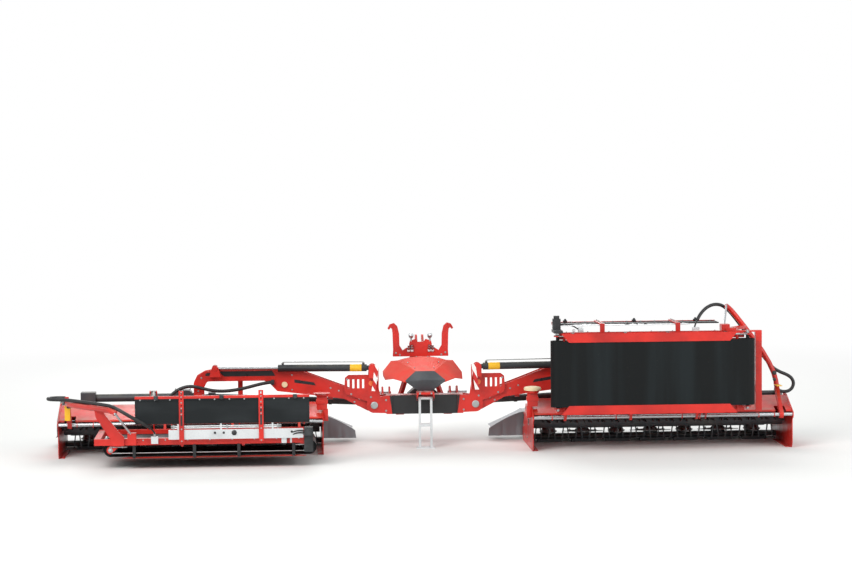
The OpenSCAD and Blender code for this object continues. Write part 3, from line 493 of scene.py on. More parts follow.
def add_bolt(bm, at, axis, size):
    """A washer, a hexagon head of that radius and the screw's end, on the face at that point."""
    add_lathe(bm, at, axis, [(size, -0.002), (size, size * 0.18)], 18)
    add_lathe(bm, at, axis, [(size * 0.86, size * 0.1), (size * 0.86, size * 0.72),
                             (size * 0.74, size * 0.82)], 6)
    add_lathe(bm, at, axis, [(size * 0.48, size * 0.6), (size * 0.48, size * 1.1),
                             (size * 0.4, size * 1.18)], 12)


def bolts(name, body, rows, size):
    """Joined bolt heads; rows are (place, axis) pairs."""
    bm = bmesh.new()
    for at, axis in rows:
        add_bolt(bm, Vector(at), axis, size)
    return piece(name, bm, body, "bolt", 40)


# Places on a side, on a belt unit and along a route

def on_side(sign, place):
    """A place or direction drawn for the right side, on the side of that sign."""
    x, y, z = place
    return Vector((sign * x, y, z))


def belt_point(side, p):
    """A point given about a lowered belt's hinge, in millimetres, as it lies at rest in metres."""
    shift, raised = BELT[side]
    sign = -1 if side == "left" else 1
    x, y, z = (q * MM for q in p)
    if raised:
        y, z = z, -y
    return Vector((sign * (x + shift), HINGE_Y + y, HINGE_Z + z))


def belt_piece(name, bm, side, material, smooth=40):
    """A piece of a belt unit, from a bmesh drawn in metres about the lowered belt's hinge."""
    for v in bm.verts:
        v.co = belt_point(side, [c / MM for c in v.co])
    return piece(f"{name}_{side}", bm, "conveyor_" + side, material, smooth)


def smooth_path(points):
    """A curve through points, with four parts to each span."""
    parts = 4
    out = []
    last = len(points) - 1
    for i in range(last):
        a, b, c, d = points[max(i - 1, 0)], points[i], points[i + 1], points[min(i + 2, last)]
        for j in range(parts):
            t = j / parts
            out.append(0.5 * (2 * b + (c - a) * t + (2 * a - 5 * b + 4 * c - d) * t * t
                              + (3 * b - a - 3 * c + d) * t ** 3))
    return out + [points[-1]]


def even_points(points, gap):
    """Points along a path at an even gap."""
    out = [points[0].copy()]
    left = gap
    for a, b in zip(points, points[1:]):
        span = (b - a).length
        at = 0.0
        while span - at >= left:
            at += left
            out.append(a.lerp(b, at / span))
            left = gap
        left -= span - at
    return out


def add_sleeve(bm, points, radius):
    """A spiral-wound sleeve along a path: rings 6 mm apart, every second one 6 per cent less across."""
    path = even_points(points, 0.006)
    last = len(path) - 1
    across = Vector((0, 0, 1)).cross(path[1] - path[0])
    if across.length < 1e-6:
        across = Vector((1, 0, 0))
    rings = []
    for i, at in enumerate(path):
        along = (path[min(i + 1, last)] - path[max(i - 1, 0)]).normalized()
        across = (across - along * across.dot(along)).normalized()
        up = along.cross(across)
        # The sleeve draws in over its last three rings
        end = min(1.0, 0.86 + 0.14 * min(i, last - i) / 3)
        r = radius * end * (0.94 if i % 2 else 1)
        rings.append([bm.verts.new(at + r * (c * across + s * up)) for c, s in circle(18)])
    solid_of(bm, rings)


class MOWER_OT_finishes(bpy.types.Operator):
    """Gives every frame node its finish"""
    bl_idname = "mower.finishes"
    bl_label = "Finishes"

    # Material of each node in the centre and on a side
    CENTRE = {"hose_rack": "red", "link_pins": "steel", "centre_gearbox": "casting", "hood": "cover",
              "hood_nose": "grey_moulding", "park_stand": "zinc"}
    SIDE = {"arm": "red", "driveshaft": "black_moulding", "fold_barrel": "barrel", "lift_barrel": "barrel",
            "lift_rod": "steel", "cover_frame": "red", "cutterbar": "casting", "conditioner_hood": "red",
            "side_gearbox": "casting", "conditioner_rotor": "casting", "conveyor_frame": "red",
            "belt": "belting", "belt_motor": "black_moulding", "hoses": "hose", "curtain": "tarp"}

    def execute(self, context):
        make_materials()
        for node, material in self.CENTRE.items():
            finish_node(node, material)
        # The cross beam's rear between its ends is painted black as the shade that falls under the cover
        finish_node("headstock", "red", ("black_paint", self.on_beam_rear_in_shade))
        # The outermost parts of the marker plates are their round reflectors
        finish_node("marker_plates", "red", ("lens", lambda c, n: abs(c.x) > 0.60))
        for side, _ in SIDES:
            for node, material in self.SIDE.items():
                finish_node(f"{node}_{side}", material)
            for i in range(1, DISC_COUNT + 1):
                finish_node(f"disc_{side}_{i}", "blade")
            # The fold rod ends in a black eye
            finish_node("fold_rod_" + side, "steel", ("black_paint", lambda c, n: abs(c.x) > 2.46))
            finish_node("mower_frame_" + side, "red", ("steel", self.on_hinge_pin))
            finish_node("deflector_" + side, "rubber", ("zinc", lambda c, n: self.on_low_panel(side, c)))
            finish_node("lift_arm_" + side, "red", ("steel", lambda c, n: self.on_strut(side, c)),
                        ("zinc", lambda c, n: self.on_valve(side, c)))
        return {"FINISHED"}

    @staticmethod
    def on_beam_rear_in_shade(c, n):
        """Whether a face lies on the cross beam's rear between its ends, which is painted black as the
        shade under the cover.
        """
        return abs(c.x) < 0.43 and c.y < 0.43 and c.z < 0.64 and n.y < -0.5

    @staticmethod
    def on_hinge_pin(c, n):
        """Whether a face lies round the belt unit's hinge pin, which is bare between its eyes."""
        return math.hypot(c.y - HINGE_Y, c.z - HINGE_Z) < 0.0215 and abs(n.x) < 0.5

    @staticmethod
    def about_hinge(side, c):
        """A face's centre about the lowered belt's hinge, in metres."""
        y, z = c.y - HINGE_Y, c.z - HINGE_Z
        if BELT[side][1]:
            y, z = -z, y
        return Vector((abs(c.x), y, z))

    def on_strut(self, side, c):
        """Whether a face lies on the thin strut at the lift arm's tip."""
        p = self.about_hinge(side, c)
        a, b = Vector((3.640, -1.300, 0.262)), Vector((3.470 + BELT[side][0], -1.075, -0.010))
        t = max(0.0, min(1.0, (p - a).dot(b - a) / (b - a).length_squared))
        return (p - a - t * (b - a)).length < 0.016

    def on_valve(self, side, c):
        """Whether a face lies on the hose's valve block."""
        p = self.about_hinge(side, c)
        return 3.16 < p.x < 3.26 and p.y < -1.025 and p.z < -0.02

    def on_low_panel(self, side, c):
        """Whether a face lies on the deflector's lower, galvanised panel or its rods."""
        return self.about_hinge(side, c).z < 0.115


# Route of a belt's hose about the lowered belt's hinge, the same points as of the hose in the frame
BELT_HOSE = [(4262, -330, 352), (4262, -318, 352), (4262, -306, 352), (4282, -268, 352),
             (4340, -242, 352), (4410, -245, 352), (4464, -285, 352), (4480, -350, 352),
             (4450, -410, 352), (4390, -450, 352), (4310, -485, 352), (4225, -540, 352),
             (4130, -650, 352), (4020, -800, 352), (3900, -960, 352), (3790, -1110, 352),
             (3690, -1230, 345), (3590, -1305, 305), (3480, -1320, 240), (3380, -1285, 175),
             (3300, -1215, 120), (3245, -1130, 70), (3216, -1078, 25), (3212, -1052, 0),
             (3212, -1052, -15), (3212, -1052, -30)]

# Route of the hoses from under an arm's arch to its mower unit, for the right side
ARM_HOSE = [(1.850, 0.406, 0.818), (1.880, 0.405, 0.817), (1.965, 0.399, 0.806), (2.060, 0.392, 0.786),
            (2.180, 0.384, 0.757), (2.320, 0.374, 0.732), (2.460, 0.364, 0.722), (2.590, 0.356, 0.732),
            (2.700, 0.352, 0.758), (2.800, 0.350, 0.782), (2.890, 0.348, 0.784), (2.980, 0.347, 0.757),
            (3.060, 0.350, 0.705), (3.120, 0.360, 0.642), (3.155, 0.378, 0.586), (3.172, 0.402, 0.545),
            (3.178, 0.430, 0.514), (3.180, 0.452, 0.496), (3.180, 0.462, 0.488)]

# Route of the upper motor hose about the lowered belt's hinge, each point with the share of LOWER_PORT
# that the lower hose lies under it there
MOTOR_HOSE = [(1494, -1120, 22, 1), (1512, -1120, 22, 1), (1545, -1122, 24, 1), (1585, -1118, 20, 1),
              (1625, -1106, 6, 1), (1662, -1092, -18, 0.8), (1684, -1078, -44, 0.6),
              (1697, -1070, -58, 0.6), (1704, -1068, -64, 0.6)]
LOWER_PORT = -26


class MOWER_OT_hoses(bpy.types.Operator):
    """Hoses of the belts and arms, in wound sleeves, with their ferrules"""
    bl_idname = "mower.hoses"
    bl_label = "Hoses"

    def execute(self, context):
        size = context.scene.mower_hoses
        for side, sign in SIDES:
            self.belt_hose(side, size)
            self.arm_hose(side, sign, size)
            self.motor_hoses(side, size)
        return {"FINISHED"}

    @staticmethod
    def belt_hose(side, size):
        """The belt unit's hose, with a sleeve between its two ferrules."""
        shift = BELT[side][0] / MM
        body = "conveyor_" + side
        points = smooth_path([belt_point(side, (x - shift, y, z)) for x, y, z in BELT_HOSE])
        h = hose("belt_hose_" + side, points, size.diameter, body)
        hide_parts("hoses_" + side)
        bm = bmesh.new()
        # The sleeve leaves 6 and 13 gaps of 12 mm bare at the hose's ends
        add_sleeve(bm, even_points(points, 0.012)[6:-13], size.bundle / 2)
        sleeve = piece("belt_hose_sleeve_" + side, bm, body, "hose", 70)
        bm = bmesh.new()
        for a, b in ((points[0], points[1]), (points[-1], points[-2])):
            along = (b - a).normalized()
            add_lathe(bm, a, along, [(0.015, 0.0), (0.0155, 0.004), (0.0155, 0.014)], 6)
            add_lathe(bm, a, along, [(0.0125, 0.013), (0.0132, 0.018), (0.0132, 0.042), (0.0122, 0.046)])
        ends = piece("belt_hose_ferrules_" + side, bm, body, "bolt", 40)

    @staticmethod
    def arm_hose(side, sign, size):
        """A sleeved pair that sags under the arch, and its clamp."""
        points = smooth_path([on_side(sign, p) for p in ARM_HOSE])
        name = "arm_hose_" + side
        bm = bmesh.new()
        add_sleeve(bm, points, size.bundle / 2)
        obj = new_object(name, new_mesh(name, bm, 180), "hose")
        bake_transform(obj)
        bm = bmesh.new()
        add_block(bm, (sign * 1.835, 0.376, 0.788), (sign * 1.875, 0.434, 0.848), 0.004)
        piece("arm_hose_clamp_" + side, bm, "arm_" + side, "black_moulding", 40)

    @staticmethod
    def motor_hoses(side, size):
        """A short pair from the belt motor to a block on the rear rail."""
        bm = bmesh.new()
        add_block(bm, (1.700, -1.090, -0.122), (1.760, -1.029, -0.040), 0.003)
        add_block(bm, (1.640, -1.062, -0.122), (1.662, -1.029, 0.010), 0.002)
        belt_piece("junction_block", bm, side, "zinc")
        for k, drop in enumerate((0, LOWER_PORT)):
            points = smooth_path([belt_point(side, (x, y, z + drop * share))
                                  for x, y, z, share in MOTOR_HOSE])
            h = hose(f"motor_hose_{side}_{k + 1}", points, size.motor, "conveyor_" + side)


# Cut sizes of a crop cover's outer and inner corner flaps
OUTER_FLAP_FLAT = (0.412, 0.305)
INNER_FLAP_FLAT = (0.412, 0.470)
# Height of the cloth on its tube frame
CLOTH_TOP = 0.3478


class MOWER_OT_crop_covers(bpy.types.Operator):
    """Cloth crop covers over the cutting discs"""
    bl_idname = "mower.crop_covers"
    bl_label = "Crop covers"

    def execute(self, context):
        for side, sign in SIDES:
            self.cover(side, sign, context.scene.mower_cloth)
            # The flaps hang 12.5 mm inside the ends of the unit
            self.flap("cover_flap_outer_" + side, side, sign, UNIT_X + UNIT_HALF - 0.0125, 1,
                      0.148, 0.252, OUTER_FLAP_FLAT)
            self.flap("cover_flap_inner_" + side, side, sign, UNIT_X - UNIT_HALF + 0.0125, -1,
                      0.405, 0.198, INNER_FLAP_FLAT)
            self.apron(side, sign)
            self.flap_rod(side, sign)
            self.drum_boot(side, sign)
        return {"FINISHED"}

    @staticmethod
    def cover(side, sign, cloth):
        """Lies on the tube frame, bends over the front tube and hangs in soft folds to a hem."""
        rear, front = 0.643, 1.424
        drop = 0.252
        width = 2 * (UNIT_HALF - 0.014)
        count_x, count_top, count_drop = 150, 10, 14
        bm = bmesh.new()
        rows = []
        for i in range(count_x + 1):
            x = UNIT_X + width * (i / count_x - 0.5)
            phase = 2 * math.pi * cloth.folds * i / count_x
            row = []
            for j in range(count_top + 1):
                t = j / count_top
                sag = 0.008 * math.sin(math.pi * t) * (0.5 + 0.5 * math.cos(2 * math.pi * (x - UNIT_X)))
                row.append((x, rear + (front - 0.02 - rear) * t, CLOTH_TOP - sag))
            for j in range(count_drop + 1):
                t = j / count_drop
                fold = cloth.wave * t * (math.sin(phase) + 0.4 * math.sin(2.3 * phase + 1.1))
                y = front + 0.006 * math.sin(min(1.0, 3 * t) * math.pi / 2) - abs(fold) * 0.6
                row.append((x + 0.3 * fold, y + fold * 0.35, CLOTH_TOP - 0.012 - drop * t))
            rows.append([bm.verts.new(on_side(sign, p)) for p in row])
        skin(bm, rows)
        o = piece("crop_cover_" + side, bm, "mower_" + side, "tarp", 60)
        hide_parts("curtain_" + side)

    @staticmethod
    def flap(name, side, sign, edge, out, reach, drop, flat):
        """Corner flap that hangs outward from the end of the cover, bellied and curled at its hem."""
        count_out, count_along = 24, 28
        bm = bmesh.new()
        rows = []
        for i in range(count_out + 1):
            t = i / count_out
            row = []
            for j in range(count_along + 1):
                u = j / count_along
                belly = 0.016 * math.sin(math.pi * t) + 0.010 * math.sin(5.2 * math.pi * u + out) * t ** 1.5
                row.append((edge + out * (reach * t ** 1.15 + belly * 0.7), 1.022 + 0.410 * u,
                            CLOTH_TOP - drop * t + 0.006 * t * math.sin(7 * u)))
            rows.append([bm.verts.new(on_side(sign, p)) for p in row])
        skin(bm, rows)
        o = piece(name, bm, "mower_" + side, "tarp", 60)

    @staticmethod
    def apron(side, sign):
        """Cloth that hangs behind the inner flap to just over the ground, in shallow folds."""
        count_in, count_drop = 40, 18
        hem = 0.052
        bm = bmesh.new()
        rows = []
        for i in range(count_in + 1):
            u = i / count_in
            top = 0.346 - 0.200 * u ** 1.4
            row = []
            for j in range(count_drop + 1):
                t = j / count_drop
                fold = 0.012 * t * (math.sin(9.5 * u + 0.6) + 0.5 * math.sin(21 * u))
                row.append((1.2675 - 0.430 * u - 0.012 * t * u, 1.012 - abs(fold) - 0.02 * t * u,
                            top + (hem - top) * t))
            rows.append([bm.verts.new(on_side(sign, p)) for p in row])
        skin(bm, rows)
        o = piece("cover_apron_" + side, bm, "mower_" + side, "tarp", 60)

    @staticmethod
    def flap_rod(side, sign):
        """Thin rod that holds the inner flap out."""
        bm = bmesh.new()
        a, b = on_side(sign, (1.290, 1.227, 0.330)), on_side(sign, (0.905, 1.227, 0.140))
        add_lathe(bm, a, b - a, [(0.006, 0.0), (0.006, (b - a).length)], 12)
        piece("flap_rod_" + side, bm, "mower_" + side, "bolt", 40)

    @staticmethod
    def drum_boot(side, sign):
        """Boot round the drive of the outer drum."""
        bm = bmesh.new()
        add_lathe(bm, on_side(sign, (UNIT_X + 3 * DISC_PITCH, DISC_Y, 0.343)), (0, 0, 1),
                  [(0.078, 0.0), (0.079, 0.006), (0.060, 0.012), (0.052, 0.03), (0.046, 0.034),
                   (0.046, 0.05), (0.034, 0.052)], 32)
        piece("drum_boot_" + side, bm, "mower_" + side, "rubber", 50)


# Axis of a fold cylinder along its barrel, for the right side
CYLINDER_AT = Vector((0.640, 0.340, 0.985))
CYLINDER_ALONG = Vector((1.910, 0, 0.017)).normalized()


class MOWER_OT_marks(bpy.types.Operator):
    """Yellow bands and plates, bare dark fields on the arms, and striped boards"""
    bl_idname = "mower.marks"
    bl_label = "Bands, fields and boards"

    # Bare fields on an arm's rear side plate, for the right side
    FIELDS = (((1.820, 0.893), (2.440, 0.893), (2.520, 0.958), (1.860, 0.958)),
              ((2.575, 0.908), (2.590, 0.902), (2.660, 0.902), (2.676, 0.912),
               (2.660, 0.938), (2.590, 0.944), (2.575, 0.934)),
              ((1.330, 0.768), (1.590, 0.806), (1.590, 0.846), (1.350, 0.806)))
    # A striped board
    BOARD = ((0.606, 0.705), (0.656, 0.705), (0.614, 1.018), (0.564, 1.018))

    def execute(self, context):
        for side, sign in SIDES:
            bm = bmesh.new()
            add_lathe(bm, on_side(sign, (0.775, 0.340, 0.9862)), (sign, 0, 0.0089),
                      [(0.0444, 0.0), (0.0449, 0.002), (0.0449, 0.138), (0.0444, 0.140)], 40)
            piece("yellow_band_" + side, bm, "fold_barrel_" + side, "yellow", 40)
            bm = bmesh.new()
            for outline in self.FIELDS:
                add_prism(bm, [(sign * x, z) for x, z in outline], (0.4322, 0.4331))
            piece("arm_field_" + side, bm, "arm_" + side, "bare_field", 30)
            # The board hangs from the cylinder's lug and leans outward at its foot
            bm = bmesh.new()
            add_prism(bm, [(sign * x, z) for x, z in self.BOARD], (0.2745, 0.2795))
            piece("striped_board_" + side, bm, "headstock", "stripes", 30)
            # Yellow plate on the lift arm's rear
            shift = BELT[side][0]
            bm = bmesh.new()
            add_block(bm, (4.226 - shift, -0.3385, 0.090), (4.292 - shift, -0.3305, 0.270), 0.002)
            belt_piece("lift_arm_reflector", bm, side, "yellow", 30)
        return {"FINISHED"}


class MOWER_OT_fittings(bpy.types.Operator):
    """Caps, latches, guards, posts, couplings and the other small parts"""
    bl_idname = "mower.fittings"
    bl_label = "Fittings"

    # Where the hose rack carries its oil couplings
    COUPLINGS_X = (-0.150, -0.108, 0.108, 0.150)

    def execute(self, context):
        for side, sign in SIDES:
            self.pin_caps(side, sign)
            self.barrel_pipe(side, sign)
            self.deflector(side)
            self.belt_frame(side)
            self.belt_guards(side)
            self.post(side, sign)
            self.disc_bolts(side, sign)
        self.couplings()
        return {"FINISHED"}

    @staticmethod
    def pin_caps(side, sign):
        """Cap of the boss in the arm, and collars of the tilt and fold pins."""
        bm = bmesh.new()
        add_lathe(bm, on_side(sign, (1.710, 0.416, 0.785)), (0, -1, 0),
                  [(0.036, 0.0), (0.036, 0.004), (0.028, 0.009), (0.026, 0.006), (0.008, 0.007)], 32)
        piece("boss_cap_" + side, bm, "arm_" + side, "cream", 40)
        tilt = [(0.036, 0.0), (0.036, 0.007), (0.0252, 0.009), (0.0252, 0.004), (0.006, 0.004)]
        fold = [(0.044, 0.0), (0.044, 0.008), (0.032, 0.011), (0.032, 0.005), (0.006, 0.005)]
        for name, body, x, z, faces, profile in (
                ("tilt_pin_caps_", "mower_" + side, 2.750, 0.615, (0.381, 0.659), tilt),
                ("fold_pin_caps_", "headstock", FOLD_X, FOLD_Z, (0.3785, 0.6615), fold)):
            bm = bmesh.new()
            for y, way in zip(faces, (-1, 1)):
                add_lathe(bm, on_side(sign, (x, y, z)), (0, way, 0), profile, 28)
            piece(name + side, bm, body, "bolt", 40)

    @staticmethod
    def barrel_pipe(side, sign):
        """Hard oil pipe along the top of the fold barrel, with its unions."""
        up = Vector((-CYLINDER_ALONG.z, 0, CYLINDER_ALONG.x))
        # Pairs of the way along the barrel and the height over its axis
        route = [on_side(sign, CYLINDER_AT + CYLINDER_ALONG * s + up * h)
                 for s, h in ((0.110, 0.063), (0.112, 0.072), (0.130, 0.074), (1.060, 0.074),
                              (1.086, 0.072), (1.090, 0.060))]
        bm = bmesh.new()
        for a, b in zip(route, route[1:]):
            add_lathe(bm, a, b - a, [(0.007, -0.002), (0.007, (b - a).length + 0.002)], 12)
        for s in (0.110, 1.090):
            add_lathe(bm, on_side(sign, CYLINDER_AT + CYLINDER_ALONG * s + up * 0.050), on_side(sign, up),
                      [(0.016, 0.0), (0.016, 0.013), (0.010, 0.015), (0.010, 0.022)], 6)
        piece("barrel_pipe_" + side, bm, "fold_barrel_" + side, "bolt", 40)

    @staticmethod
    def deflector(side):
        """Black slots and latches, the rubber panel's hem and the clips of the rods."""
        rear = -1.1115
        bm = bmesh.new()
        for x in STRAPS_X:
            add_block(bm, (x - 0.011, -1.1329, 0.100), (x + 0.011, -1.1318, 0.215))
            add_block(bm, (x - 0.010, -1.1329, 0.250), (x + 0.010, -1.1318, 0.285))
        for x in (1.600, 2.440, 3.190):
            add_block(bm, (x - 0.024, -1.139, 0.398), (x + 0.024, -1.121, 0.446), 0.004)
            add_lathe(bm, Vector((x, -1.139, 0.410)), (0, -1, 0),
                      [(0.014, 0.0), (0.015, 0.006), (0.012, 0.016), (0.006, 0.019)], 16)
        for x in (1.640, 2.420, 2.520):
            add_lathe(bm, Vector((x, rear, 0.012)), (0, -1, 0),
                      [(0.014, 0.0), (0.014, 0.006), (0.009, 0.014), (0.004, 0.015)], 14)
        add_lathe(bm, Vector((2.300, rear, 0.010)), (0, -1, 0),
                  [(0.030, 0.0), (0.030, 0.008), (0.018, 0.018), (0.006, 0.020)], 20)
        belt_piece("deflector_latches", bm, side, "black_moulding")
        bm = bmesh.new()
        for low, high in ((0.388, 0.410), (0.120, 0.134)):
            add_block(bm, (1.436, -1.1175, low), (3.429, rear, high), 0.002)
        for x in (1.437, 3.412):
            add_block(bm, (x, -1.1160, 0.134), (x + 0.016, rear, 0.388), 0.001)
        belt_piece("deflector_hem", bm, side, "rubber")
        bm = bmesh.new()
        for x in (1.800, 2.380, 2.990):
            add_block(bm, (x - 0.010, -1.1165, 0.058), (x + 0.010, -1.1095, 0.104), 0.002)
        for x, way in ((1.772, -1), (3.010, 1)):
            for z in (0.070, 0.090):
                add_lathe(bm, Vector((x, -1.103, z)), (way, 0, 0),
                          [(0.0105, -0.024), (0.0105, 0.010), (0.006, 0.012)], 6)
        belt_piece("rod_clips", bm, side, "bolt")

    @staticmethod
    def belt_frame(side):
        """Scraper rod, roller nuts and tensioners, the lift arm's plugs and the motor's ribs."""
        bm = bmesh.new()
        add_lathe(bm, Vector((1.430, -0.994, -0.222)), (1, 0, 0), [(0.006, 0.0), (0.006, 2.300)], 10)
        for x in (1.440, 3.720):
            for y, way in ((-1.0105, -1), (-0.1255, 1)):
                add_lathe(bm, Vector((x, y, -0.185)), (0, way, 0),
                          [(0.030, -0.002), (0.030, 0.004), (0.024, 0.004), (0.024, 0.020),
                           (0.014, 0.022), (0.014, 0.030), (0.010, 0.032)], 6)
        for x in (1.500, 3.630):
            add_lathe(bm, Vector((x, -0.995, -0.150)), (1, 0, 0), [(0.008, -0.10), (0.008, 0.10)], 12)
            for d in (-0.05, 0.05):
                add_lathe(bm, Vector((x + d, -0.995, -0.150)), (1, 0, 0), [(0.014, 0.0), (0.014, 0.012)], 6)
        belt_piece("belt_rollers_fixings", bm, side, "bolt")
        bm = bmesh.new()
        for y, z, r in ((-0.480, 0.262, 0.027), (-0.400, 0.256, 0.020)):
            add_lathe(bm, Vector((4.228 - BELT[side][0], y, z)), (0, 0.1, -1),
                      [(r, -0.008), (r, 0.006), (r * 0.6, 0.010)], 24)
        belt_piece("lift_arm_plugs", bm, side, "black_moulding")
        bm = bmesh.new()
        for k in range(5):
            y = -1.176 + 0.022 * k
            add_block(bm, (1.402, y, -0.026), (1.498, y + 0.010, 0.066), 0.002)
        for z in (0.022, -0.004):
            add_lathe(bm, Vector((1.490, -1.120, z)), (1, 0, 0), [(0.012, 0.0), (0.012, 0.012)], 6)
        belt_piece("motor_ribs", bm, side, "black_moulding")

    @staticmethod
    def belt_guards(side):
        """Red strips over both edges of the belt's lower run, with chamfered ends, on dark tabs."""
        low, high = -0.2775, -0.2745
        bm = bmesh.new()
        for outer, inner in ((-1.030, -0.922), (-0.060, -0.168)):
            outline = ((1.475, outer), (3.585, outer), (3.495, inner), (1.565, inner))
            solid_of(bm, [[bm.verts.new((x, y, z)) for x, y in outline] for z in (low, high)])
        belt_piece("belt_guards", bm, side, "red", 30)
        bm = bmesh.new()
        for x in (1.620, 2.250, 2.760, 3.450):
            for y in (-1.030, -0.064):
                add_block(bm, (x - 0.018, y, low), (x + 0.018, y + 0.004, -0.120), 0.001)
        belt_piece("belt_guard_tabs", bm, side, "black_paint", 30)

    @staticmethod
    def post(side, sign):
        """Post at a unit's inner end with its collar; the right one carries a round cream cap."""
        body = "mower_" + side
        bm = bmesh.new()
        for low, high in (((1.195, -0.150, 0.395), (1.2555, -0.095, 0.540)),
                          ((1.205, -0.150, 0.530), (1.330, -0.095, 0.715)),
                          ((1.196, -0.160, 0.600), (1.339, -0.085, 0.650))):
            add_block(bm, on_side(sign, low), on_side(sign, high), 0.004)
        add_lathe(bm, on_side(sign, (1.270, -0.122, 0.690)), (0, 0, 1),
                  [(0.060, 0.0), (0.080, 0.012), (0.080, 0.034)], 32)
        piece("end_post_" + side, bm, body, "red", 35)
        material, height = ("cream", 0.052) if side == "right" else ("red", 0.010)
        bm = bmesh.new()
        add_lathe(bm, on_side(sign, (1.270, -0.122, 0.724)), (0, 0, 1),
                  [(r, share * height) for r, share in ((0.088, 0.0), (0.104, 0.1), (0.106, 0.5),
                                                        (0.094, 0.8), (0.060, 0.95), (0.010, 1.0))], 40)
        piece("end_post_cap_" + side, bm, body, material, 40)

    @staticmethod
    def disc_bolts(side, sign):
        """Hub bolts and knife nuts on every cutting disc."""
        up = (0, 0, 1)
        for i in range(1, DISC_COUNT + 1):
            centre = on_side(sign, (UNIT_X + (i - (DISC_COUNT + 1) / 2) * DISC_PITCH, DISC_Y, 0.0))
            # Neighbours stand a quarter turn apart
            turn = math.radians(90 * (i % 2))
            bm = bmesh.new()
            for k in (-1, 1):
                at = centre + Vector((k * 0.160 * math.cos(turn), k * 0.160 * math.sin(turn), 0.136))
                add_bolt(bm, at, up, 0.013)
            # Drums hide the hubs of the end discs
            if i not in (1, DISC_COUNT):
                for a in QUARTERS:
                    at = centre + Vector((0.030 * math.cos(a), 0.030 * math.sin(a), 0.169))
                    add_bolt(bm, at, up, 0.008)
            piece(f"disc_bolts_{side}_{i}", bm, f"disc_{side}_{i}", "bolt", 40)

    def couplings(self):
        """Ball-headed pins and oil couplings on the hose rack, with their brackets."""
        bm = bmesh.new()
        for x in (-0.118, 0.118):
            add_lathe(bm, Vector((x, 1.239, 1.225)), (0, 0, 1),
                      [(0.012, 0.0), (0.012, 0.040), (0.020, 0.046), (0.030, 0.060), (0.033, 0.076),
                       (0.030, 0.092), (0.018, 0.105), (0.006, 0.108)], 24)
        for x in self.COUPLINGS_X:
            add_lathe(bm, Vector((x, 1.2265, 1.128)), (0, -0.35, 1),
                      [(0.013, -0.052), (0.013, -0.012), (0.020, -0.010), (0.020, 0.030),
                       (0.016, 0.032), (0.016, 0.058), (0.010, 0.060)], 12)
        piece("couplings", bm, "headstock", "steel", 40)
        bm = bmesh.new()
        for x in self.COUPLINGS_X:
            add_block(bm, (x - 0.017, 1.2095, 1.098), (x + 0.017, 1.2295, 1.126), 0.003)
        piece("coupling_brackets", bm, "headstock", "zinc", 40)


# Cross folds of the centre cover's top, from its low end to its front: place in Y, height of the middle,
# how far the edges arch down from it, and half width
COVER_FOLDS = ((0.330, 0.935, 0.0, 0.112), (0.820, 1.066, 0.048, 0.300), (0.980, 1.062, 0.048, 0.300),
               (1.185, 0.990, 0.040, 0.300))


